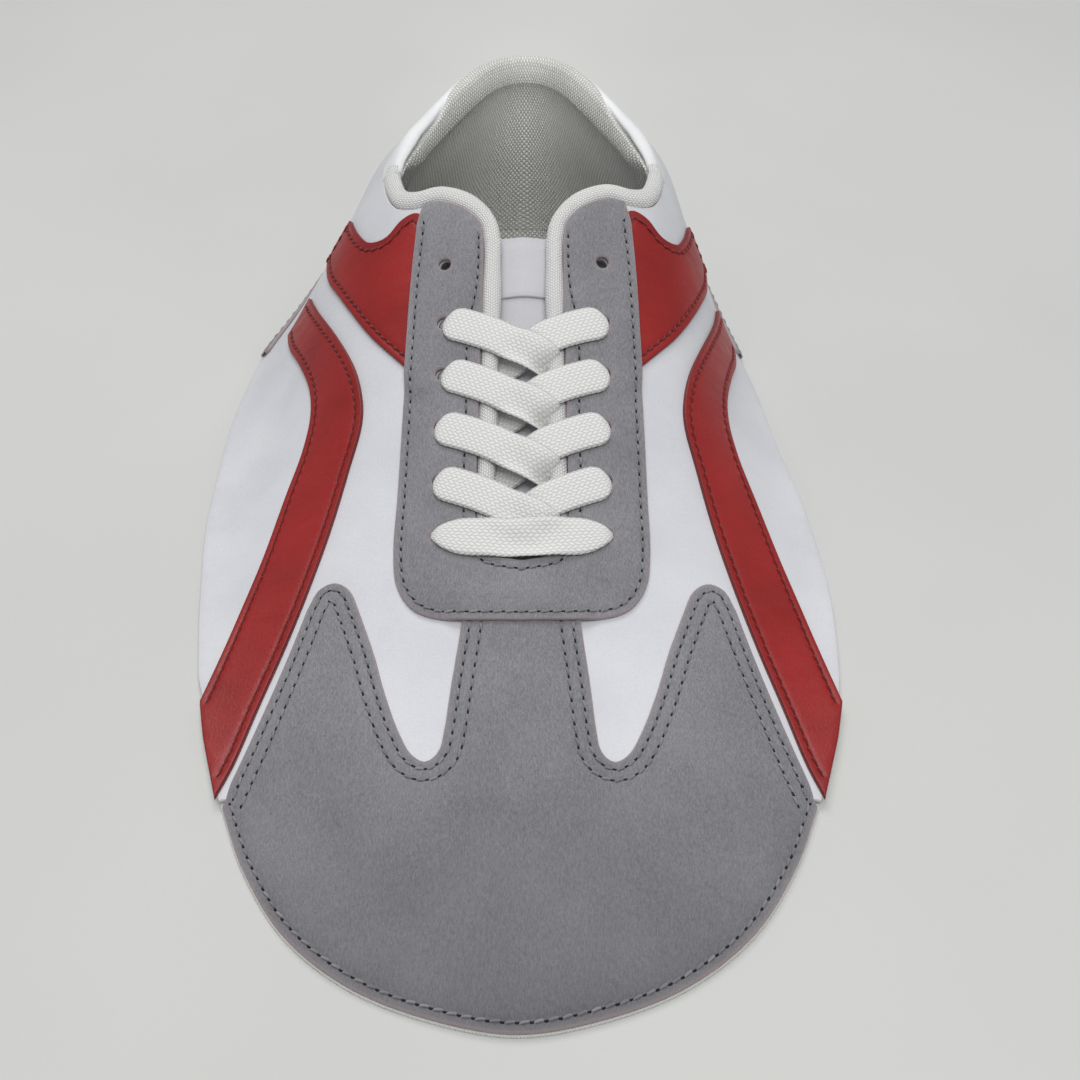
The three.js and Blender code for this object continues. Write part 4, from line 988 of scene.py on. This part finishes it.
def trimmed(row, outline, least=STITCH_INSET - 0.3):
    """The part of a seam row that keeps off the outline."""
    row = resample(row, 0.5)
    kept = np.nonzero(inside(row, outline) & (distance(row, outline) > least))[0]
    return row[kept[0]:kept[-1] + 1]


PANEL_ROW = trimmed(shift(PANEL_OUTLINE, -STITCH_INSET), PANEL_OUTLINE)
STRIPE_ROWS = {key: trimmed(shift(path, -STITCH_INSET), STRIPE_OUTLINE)
               for key, path in (("outer", STRIPE_OUTER), ("inner", STRIPE_INNER))}
FOXING_ROW = shift(FOXING_TOP, STITCH_INSET)
EYELETS = [FIRST_EYELET_V + k * EYELET_PITCH for k in range(LACED_ROWS)] + [TOP_EYELET_V]


def eyelets(side, radius=EYELET_R):
    """Centres and radii of one side's eyelet holes."""
    return [((side * EYELET_X, v), radius) for v in EYELETS]


# ---- white base leather and the overlays ----
for word, sign in SIDES:
    sheet(f"{word}_white_half", flip(half_outline(sign), sign), base_top, LEATHER_T, WHITE,
          f"{word}_half_upper", holes=eyelets(sign))
    sheet(f"{word}_red_panel", flip(PANEL_OUTLINE, sign), band_top, OVERLAY_T, RED, f"{word}_collar_panel",
          rows=[flip(PANEL_ROW, sign)], spacing=FINE)
    sheet(f"{word}_red_band", flip(STRIPE_OUTLINE, sign), band_top, OVERLAY_T, RED, f"{word}_side_stripe",
          rows=[flip(row, sign) for row in STRIPE_ROWS.values()], spacing=FINE)
    sewing(f"{word}_panel_stitches", flip(PANEL_ROW, sign), band_top, RED_SEWN, f"{word}_collar_panel_thread")
    for part_word, row in STRIPE_ROWS.items():
        sewing(f"{word}_band_stitches_{part_word}", flip(row, sign), band_top, RED_SEWN,
               f"{word}_stripe_thread_{part_word}")
    for part_word, row in WING_ROWS.items():
        sewing(f"{word}_wing_stitches_{part_word}", flip(row, sign), toe_top, GREY_SEWN,
               f"{word}_wing_thread_{part_word}")

TOE_ROWS = [TOE_ROW] + [flip(row, sign) for row in WING_ROWS.values() for sign in (-1, 1)]
sheet("toe_suede", TOE_OUTLINE, toe_top, OVERLAY_T, GREY, "toe_overlay", rows=TOE_ROWS)
sewing("toe_edge_stitches", TOE_ROW, toe_top, GREY_SEWN, "toe_edge_thread")

STAY_TOP = int(np.argmax((FACING_EDGE[:, 1] > 205) & (FACING_EDGE[:, 0] > 27)))
STAY_INNER = FACING_EDGE[:STAY_TOP + 1]
STAY_INNER = STAY_INNER[STAY_INNER[:, 1] > THROAT_V + 3]
STAY_HALF = joined(STAY_OUTER, STAY_INNER[::-1], [[7, THROAT_V + 1.2], [0, THROAT_V]])
STAY_OUTLINE = joined(STAY_HALF, mirror(STAY_HALF)[1:-1])
sheet("eyestay_suede", STAY_OUTLINE, stay_top, OVERLAY_T, GREY, "eyestay", rows=[STAY_ROW, THROAT_ROW],
      holes=eyelets(-1) + eyelets(1), spacing=FINE)
sewing("eyestay_stitches", STAY_ROW, stay_top, GREY_SEWN, "eyestay_thread")
sewing("throat_stitches", THROAT_ROW, stay_top, GREY_SEWN, "throat_thread")
sheet("heel_suede", FOXING_OUTLINE, over_top, OVERLAY_T, GREY, "heel_foxing", rows=[FOXING_ROW])
sewing("heel_stitches", FOXING_ROW, over_top, GREY_SEWN, "heel_foxing_thread")

# ---- linings: the vamp's, the two sides', and the heel's ----
VAMP_END = THROAT_V - 6
QUARTER_END = 284.0


def heel_folds(x, v):
    """Soft upright folds in the lining where the sides turn into the heel."""
    fx, fv = fold(x, v)
    below = np.abs(fx) - both_sides(topline, fx, fv)
    inner = ramp(below, 4, 16) * ramp(below, 62, 40)
    return -1.3 * inner * (np.exp(-((fv - 291) / 5.0) ** 2) + 0.5 * np.exp(-((fv - 306) / 4.0) ** 2))


def inner_top(x, v):
    return lining_top(x, v) + heel_folds(x, v) + 0.5 * sway(x, v)


def inner_bottom(x, v):
    return inner_top(x, v) - LINING_T


def vamp_side(side):
    return margin_path(side, VAMP_END - 0.7, -RIM)


sheet("vamp_lining_cloth", joined([[0, -RIM]], vamp_side(1), mirror(vamp_side(-1))), lining_top, LINING_T,
      CLOTH, "vamp_lining", edge=CLOTH_EDGE)
for word, sign in SIDES:
    foot = along_v(VAMP_END, QUARTER_END, lambda v: lasting_edge(v, sign) - 1.2)
    collar = along_v(QUARTER_END, COLLAR_V + 0.5, lambda v: topline(v, sign) + 1)
    outline = joined([[9, VAMP_END]], foot, collar, FACING_EDGE[::-1])
    sheet(f"{word}_quarter_lining_cloth", flip(outline, sign), inner_top, LINING_T, MESH,
          f"{word}_quarter_lining", holes=eyelets(sign, 2.6), edge=CLOTH_EDGE)
HEEL_START = QUARTER_END + 0.3
heel_top = along_v(HEEL_START, 2 * BACK_V - HEEL_START, lambda v: round_heel(topline, v) - 1)
heel_foot = along_v(2 * BACK_V - HEEL_START, HEEL_START, lambda v: round_heel(lasting_edge, v) + 1.2)
sheet("heel_lining_cloth", joined(heel_top, heel_foot), inner_top, LINING_T, MESH, "heel_lining",
      edge=CLOTH_EDGE)

# ---- padded collar: a soft roll over the topline, white at its front ends and mesh elsewhere ----
ROLL_R = (BASE_TOP + FOAM_T + COUNTER_DROP) / 2
FRONT_R = 2.1                    # the roll starts as thin as the binding that it carries on from
COLLAR_PATH = along_v(COLLAR_FRONT, 2 * BACK_V - COLLAR_FRONT, lambda v: round_heel(topline, v), 1.2)
SKIRT = (-10.0, -8.0, -6.0, -4.0, -2.0)           # outer edge of the cover, run in over the white leather
SKIRT_SUNK = 0.06                # the skirt's end lies this far inside the white leather
WHITE_STEPS, MESH_STEPS = 12, 10
ROLL_END = 0.7                   # share of the half turn where the round top runs on into the padding
TIP_R = 3.3                      # the padded roll is thinner at its top than lower down
# down the inside of the padding: distance below the topline, share of the padding's depth, and how
# far the skin stands proud of the lining
BOLSTER = ((0.0, 0.66, 0.0), (-3.0, 0.84, 0.0), (-7.0, 1.02, 0.0), (-12.0, 1.18, 0.0), (-18.0, 1.3, 0.0),
           (-26.0, 1.32, 0.1), (-34.0, 1.16, 0.2), (-42.0, 0.92, 0.2), (-50.0, 0.63, 0.2), (-57.0, 0.36, 0.2),
           (-61.0, 0.0, 0.12), (-64.0, 0.0, -0.25))


def collar_profile(k):
    """Across (up over the topline) and height of the roll's skin, from outside over the top to inside."""
    x, v = COLLAR_PATH[k]
    run = min(v, 2 * BACK_V - v) - COLLAR_FRONT
    grown = float(padding(run))
    radius = FRONT_R + (TIP_R - FRONT_R) * grown
    radius *= 1 + 0.03 * grown * (math.sin(v / 6.1 + 1.0) * math.sin(v / 15.3) + 0.6 * math.sin(v / 3.7))
    mid = BASE_TOP + 0.25 - radius
    # the seam between white and mesh climbs from the inside to the top on its way back, and pulls in
    seam = 0.6 - 0.42 * float(ramp(run, 22, 58))
    crease = (1.5 * float(ramp(run, 46, 16)) + 0.1) * float(smooth(run / 7.0))
    shape = []
    for a in SKIRT:
        a *= 0.3 + 0.7 * grown
        shape.append((a, BASE_TOP - SKIRT_SUNK + 0.3 * float(smooth((a - SKIRT[0]) / 3.0))))
    white, mesh = np.linspace(0.02, seam, WHITE_STEPS), np.linspace(seam, ROLL_END, MESH_STEPS)
    for share in (*white, *mesh[1:]):
        angle = share * math.pi
        dent = crease * math.exp(-((share - seam) / 0.06) ** 2)
        wide = (radius - dent) * (1 + 0.1 * math.sin(angle) ** 2)
        lean = sway(np.array([x]), np.array([v]))[0] * (1 - share)
        shape.append((wide * math.sin(angle), mid + (radius - dent) * math.cos(angle) + lean))
    deep = 2 * ROLL_R - BASE_TOP
    for a, share, proud in BOLSTER:
        a *= 0.35 + 0.65 * grown
        lining = inner_bottom(np.array([x + a]), np.array([v]))[0]
        shape.append((a, min(lining - proud, -deep * share * grown) if share > 0 else lining - proud))
    return shape


COLLAR_SKIN = np.array([collar_profile(k) for k in range(len(COLLAR_PATH))])


def toward_crown(k):
    """The skin's profile for a path whose left is away from the crown."""
    return COLLAR_SKIN[k] * (-1, 1)


def collar_chart(shape, x, v):
    """Pattern coordinates of the skin, carried on from the lining's."""
    girth = run_along(shape)
    return np.stack([x + shape[-1, 0] + girth[-1] - girth, np.full(len(shape), v), np.zeros(len(shape))], -1)


collar = tube_mesh("padded_collar", rings_along(COLLAR_PATH, toward_crown), [COLLAR, MESH],
                   ("collar_roll", "collar_foam"),
                   chart=np.array([collar_chart(skin, *at) for skin, at in zip(COLLAR_SKIN, COLLAR_PATH)]),
                   slots=lambda k, size: int(len(SKIRT) + WHITE_STEPS - 1 <= k < size - 1))

# ---- woven binding along the throat and the front of the collar ----
BINDING_H = 1.15
BINDING_W, BINDING_T = 2.45, 2.2


def binding_profile(path):
    run = run_along(path)

    def profile(k):
        across, up = circle(HOLE_SIDES).T
        swell = 1 + 0.04 * math.sin(run[k] / 5.0) + 0.03 * math.sin(run[k] / 2.3 + 1)
        lifted = BINDING_H + lift(path[k:k + 1, 0], path[k:k + 1, 1])[0]
        return np.stack([BINDING_W * swell * across, lifted + BINDING_T * up], -1)

    return profile


BINDING_LINE = joined(BINDING_PATH, [[float(topline(COLLAR_V, 1)), COLLAR_V + 1.0]])
for word, sign in SIDES:
    path = resample(flip(BINDING_LINE, sign), 0.9)
    tube_mesh(f"{word}_woven_binding", rings_along(path, binding_profile(path)), [BINDING],
              f"{word}_throat_binding")

# ---- tongue: one padded piece, with a mesh back and a patch at its tip ----
TONGUE_TOP = -2.85
PAD = 6.3


def tongue_half(depth):
    side = spline([[22 - depth, TONGUE_FRONT + depth], [27 - depth, 118], [31 - depth, 150],
                   [32 - depth, 188]])
    tip = spline([[32 - depth, 188], [29.5 - depth, 199 - depth / 2], [20, TONGUE_END - 1 - depth],
                  [0, TONGUE_END - depth]])
    return joined(side, tip)


def tongue_outline(depth):
    half = tongue_half(depth)
    return joined(half, mirror(half)[1:])


def tongue_top(x, v):
    flat = -0.35 + (TONGUE_TOP + 0.35) * ramp(v, TONGUE_FRONT + 2, TONGUE_FRONT + 14)
    crown = np.exp(-(x / 6.5) ** 2) * (0.5 + 1.1 * ramp(v, 176, 190)) * ramp(v, 108, 120)
    return flat + crown + 0.12 * np.sin(v / 6.0 + x / 9.0)


def patch_top(x, v):
    """The patch lies on the tongue and is sewn down at its tip."""
    return tongue_top(x, v) + 0.75 - 1.4 * ramp(v, 201.0, 204.5)


tongue_pad = sheet("padded_tongue", tongue_outline(0), tongue_top, PAD, TONGUE,
                   ("tongue_outer", "tongue_foam"), body="tongue", edge=2.6)
sheet("tongue_mesh_back", tongue_outline(0.8), lambda x, v: tongue_top(x, v) - PAD - 0.05, LINING_T, MESH,
      "tongue_lining", body="tongue", edge=0.3)
PATCH_FRONT = 185.5
PATCH_HALF = joined([[0, PATCH_FRONT], [20, PATCH_FRONT], [20, PATCH_FRONT + 8]],
                    spline([[20, PATCH_FRONT + 8], [18, 199.5], [8, 203.4], [0, TONGUE_END - 1.2]]))
sheet("tongue_tip_patch", joined(PATCH_HALF, mirror(PATCH_HALF)[1:-1]),
      patch_top, 0.9, TONGUE, "tongue_patch", body="tongue")

# ---- shoelace: flat woven cord, each strand laid over the ones below it ----
LACE_W, LACE_T = 9.2, 1.3
UNDER_H = -2.0                   # middle of the cord under the facing
OVER_LIFT = 0.72                 # middle of the cord above the suede
HOLE_W, PLUG_R = 2.6, 1.2        # width of the cord at an eyelet, and its radius inside one
CROSS_LIFT = 0.42                # share of the cord's thickness that keeps crossing strands apart
SINK, SINK_RUN = 0.9, 1.8        # how far the cord dips into an eyelet, and over what run
PLUG_DEEP = 2.4                  # the cord inside an eyelet ends this far below the strands
BAR_W, BAR_SAG, BAR_PAST = 10.2, 2.0, 1.3         # the bar's width, sag, and reach past the eyelets
STRAND_START = 60.0              # run between the starts of two strands, for the weave
CELL = 0.5                       # width of a cell of FIELD
FIELD_LOW = np.array([-30.0, 105.0])
FIELD = np.full((120, 200), -99.0)                # highest lace surface so far, over x and v
Q = np.linspace(-1, 1, 13)       # places across the cord


def row_v(row):
    return FIRST_EYELET_V + row * EYELET_PITCH


def over_height(x, v):
    """Height of a strand's middle where it lies on the suede."""
    return stay_top(x, v) + OVER_LIFT


def field_index(x, v):
    """Where pattern points fall in FIELD."""
    i = clamp(((x - FIELD_LOW[0]) / CELL).astype(int), 0, FIELD.shape[0] - 1)
    j = clamp(((v - FIELD_LOW[1]) / CELL).astype(int), 0, FIELD.shape[1] - 1)
    return i, j


def blurred(values, sigma, axis):
    """Values smoothed along one axis."""
    reach = int(3 * sigma)
    kernel = np.exp(-0.5 * (np.arange(-reach, reach + 1) / sigma) ** 2)
    kernel /= kernel.sum()
    widths = [(0, 0), (0, 0)]
    widths[axis] = (reach, reach)
    padded = np.pad(values, widths, mode="edge")
    count = values.shape[axis]
    return sum(k * np.take(padded, np.arange(i, i + count), axis=axis) for i, k in enumerate(kernel))


def spread(values, reach, axis):
    """The highest value within reach steps along one axis."""
    out = values.copy()
    for step in range(1, reach + 1):
        for way in (-step, step):
            out = np.maximum(out, np.roll(values, way, axis))
    return out


def lace_strand(centre, width, height, free):
    """One strand's skin in pattern coordinates, draped over what already lies in FIELD."""
    side = left_of(unit(np.gradient(centre, axis=0)))
    x = centre[:, None, 0] + side[:, None, 0] * Q * width[:, None] / 2
    v = centre[:, None, 1] + side[:, None, 1] * Q * width[:, None] / 2
    level = np.repeat(height[:, None], len(Q), 1)
    i, j = field_index(x, v)
    need = np.maximum(0, FIELD[i, j] + LACE_T * CROSS_LIFT - level) * free[:, None]
    need = blurred(blurred(spread(spread(need, 2, 0), 1, 1), 2.2, 0), 1.6, 1)
    level = level + np.maximum(need, 0)
    half = LACE_T / 2 * (1 - np.abs(Q) ** 3.2) ** 0.5
    high, low = level + half, level - half
    for a in np.linspace(0, 1, 4)[:-1]:
        for b in np.linspace(0, 1, 4)[:-1]:
            def between(field):
                rows = field[:-1] * (1 - a) + field[1:] * a
                return rows[:, :-1] * (1 - b) + rows[:, 1:] * b
            fi, fj = field_index(between(x), between(v))
            shown = np.repeat(free[:-1, None] > 0.5, len(Q) - 1, 1)
            np.maximum.at(FIELD, (fi[shown], fj[shown]), between(high)[shown])
    loop_x = np.concatenate([x, x[:, -2:0:-1]], 1)
    loop_v = np.concatenate([v, v[:, -2:0:-1]], 1)
    loop_h = np.concatenate([high, low[:, -2:0:-1]], 1)
    return np.stack([loop_x, loop_v, loop_h], -1), width


def end_width(gap):
    """Width of the cord as it gathers into an eyelet, gap mm away."""
    t = clamp((gap + 0.15) / 4.4, 0, 1)
    return LACE_W * np.sqrt(1 - (1 - t) ** 2)


def crossing(row, start):
    """The strand that comes up at the facing on side start and goes down in the eyelet opposite."""
    v0, v1 = row_v(row), row_v(row + 1)
    hole = EYELET_X + (-0.5 if start > 0 and row >= 2 else 0.9)      # two lateral lobes stop short
    lean = EYELET_PITCH / 31.2
    knots = [[EYELET_X, v0], [16, v0], [12, v0 + 0.2], [8.6, v0 + 1.4 * lean], [0, v0 + 10 * lean],
             [-10, v0 + 20 * lean + 0.4], [-hole, v1]]
    centre = spline(knots, 0.7)
    s = centre[:, 0].copy()
    centre[:, 0] *= start
    rising = smooth((7.6 - s) / 14.4)
    over = over_height(centre[:, 0], centre[:, 1])
    height = UNDER_H + (over - UNDER_H) * rising
    gap = s + hole
    height = height - SINK * (1 - smooth(gap / SINK_RUN)) * (s < 0)
    hidden_width = HOLE_W + (LACE_W - 2 - HOLE_W) * smooth((EYELET_X - s) / 8)
    middle_width = np.where(s > 12, hidden_width, LACE_W - 1.2 * ramp(s, 2, 9))
    return lace_strand(centre, np.where(s < 0, end_width(gap), middle_width), height, (s < 8.0) * 1.0)


def bottom_bar():
    """The straight strand across the foot of the lacing."""
    end = EYELET_X + BAR_PAST
    centre = resample([[-end, row_v(0)], [end, row_v(0)]], 0.7)
    centre[:, 1] -= BAR_SAG * np.cos(centre[:, 0] / end * math.pi / 2)
    gap = end - np.abs(centre[:, 0])
    dip = 0.9 * ramp(np.abs(centre[:, 0]), 9, 3)
    height = over_height(centre[:, 0], centre[:, 1]) - dip - SINK * (1 - smooth(gap / SINK_RUN))
    width = BAR_W * (1 - (1 - clamp((gap + 0.5) / 11, 0, 1)) ** 2.2) ** 0.8
    return lace_strand(centre, width, height, np.ones(len(centre)))


def lace_tail(side):
    """The end of the cord, tucked in between facing and tongue."""
    v = row_v(LACED_ROWS - 1)
    knots = [[EYELET_X, v], [24.0, v - 3], [26.6, v - 12], [27, v - 26], [27, 139]]
    centre = spline(flip(knots, side), 1.0)
    run = np.linspace(0, 1, len(centre))
    width = HOLE_W + 1.6 * smooth(run * 6)
    return lace_strand(centre, width, np.full(len(centre), UNDER_H), np.zeros(len(centre)))


def eyelet_run(x, v):
    """The cord gathered to a round, on its way down through one eyelet."""
    across, along = PLUG_R * circle(2 * len(Q) - 2).T
    top = over_height(np.array([x]), np.array([v]))[0] - PLUG_DEEP
    levels = np.linspace(UNDER_H - 0.4, top, 6)[:, None]
    return np.stack(np.broadcast_arrays(x + across, v + along, levels), -1), np.full(6, HOLE_W)


def lace_mesh(strands):
    """All strands in one mesh, each a closed skin, with its chart along the cord."""
    points, faces, chart, total = [], [], [], 0
    for number, (loop, width) in enumerate(strands):
        count, size = loop.shape[:2]
        points.append(place(loop[..., 0], loop[..., 1], loop[..., 2]).reshape(-1, 3))
        run = np.repeat(run_along(loop.mean(1))[:, None] + number * STRAND_START, size, 1)
        across = np.concatenate([Q, Q[-2:0:-1]]) * LACE_W / 2 * (0.5 + 0.5 * (width / LACE_W))[:, None]
        chart.append(np.stack([across, run, loop[..., 2]], -1).reshape(-1, 3))
        faces += tube_faces(total, count, size)
        last = total + (count - 1) * size
        faces += [tuple(range(total, total + size)), tuple(range(last + size - 1, last - 1, -1))]
        total += count * size
    marks = {"chart": np.concatenate(chart), "edge": np.zeros(total)}
    make("flat_shoelace", np.concatenate(points), faces, [LACE], "upper", "shoelace", marks)


lace_mesh([crossing(row, start) for row in range(LACED_ROWS - 2, -1, -1) for start in (-1, 1)]
          + [bottom_bar(), lace_tail(-1), lace_tail(1)]
          + [eyelet_run(sign * EYELET_X, row_v(row)) for sign in (-1, 1) for row in range(LACED_ROWS)])

# ---- CAD nodes that stay as they are, hidden between leather and lining ----
for names, material in ((("heel_counter", "lateral_eyelet_tape", "medial_eyelet_tape"), BOARD),
                        (("lateral_aglet", "medial_aglet"), PLASTIC)):
    for one in names:
        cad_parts[one].data.materials.clear()
        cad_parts[one].data.materials.append(material)


# ---- floor, lights ----
def pale_floor():
    n = Nodes("pale_floor")
    at = n.scaled(n.add("ShaderNodeTexCoord", "Object"), (1000, 1000, 1000))
    cloud = n.noise(at, 0.004, 3.0)
    fine = n.noise(at, 0.9, 3.0)
    colour = n.mix(n.remap(cloud, 0.3, 0.7), rgb(209, 210, 209), rgb(217, 218, 216))
    return n.finish(colour, 0.85, n.bump(fine, 0.05), Specular_IOR_Level=0.2)


HALF = 2.0
CORNERS = [(-HALF, -HALF, 0), (HALF, -HALF, 0), (HALF, HALF, 0), (-HALF, HALF, 0)]
floor_mesh = bpy.data.meshes.new("floor")
floor_mesh.from_pydata(CORNERS, [], [(0, 1, 2, 3)])
floor_mesh.materials.append(pale_floor())
floor = bpy.data.objects.new("floor", floor_mesh)
bpy.context.scene.collection.objects.link(floor)


def lamp(kind, name, place_at, aim, power, colour, **settings):
    data = bpy.data.lights.new(name, kind)
    data.energy, data.color = power, colour
    for key, value in settings.items():
        setattr(data, key, value)
    thing = bpy.data.objects.new(name, data)
    bpy.context.scene.collection.objects.link(thing)
    thing.location = place_at
    thing.rotation_euler = (Vector(aim) - Vector(place_at)).to_track_quat("-Z", "Y").to_euler()


lamp("SPOT", "heel_glow", (0.01, -0.22, 0.27), (0.004, 0.137, 0.063), 1.9, (1.0, 0.99, 0.98),
     shadow_soft_size=0.03, spot_size=math.radians(12.5), spot_blend=1.0)
lamp("AREA", "key", (-0.15, 0.75, 1.35), (0.0, 0.0, 0.0), 8.6, (1.0, 0.99, 0.98), shape="DISK", size=0.9)
lamp("AREA", "fill", (0.1, -0.5, 1.25), (0.0, 0.05, 0.03), 8.0, (1.0, 1.0, 0.98), shape="DISK", size=0.8)
world = bpy.data.worlds.new("room")
world.use_nodes = True
world.node_tree.nodes["Background"].inputs["Color"].default_value = (0.89, 0.9, 0.9, 1)
world.node_tree.nodes["Background"].inputs["Strength"].default_value = 0.31
bpy.context.scene.world = world
bpy.context.scene.view_settings.view_transform = "Standard"
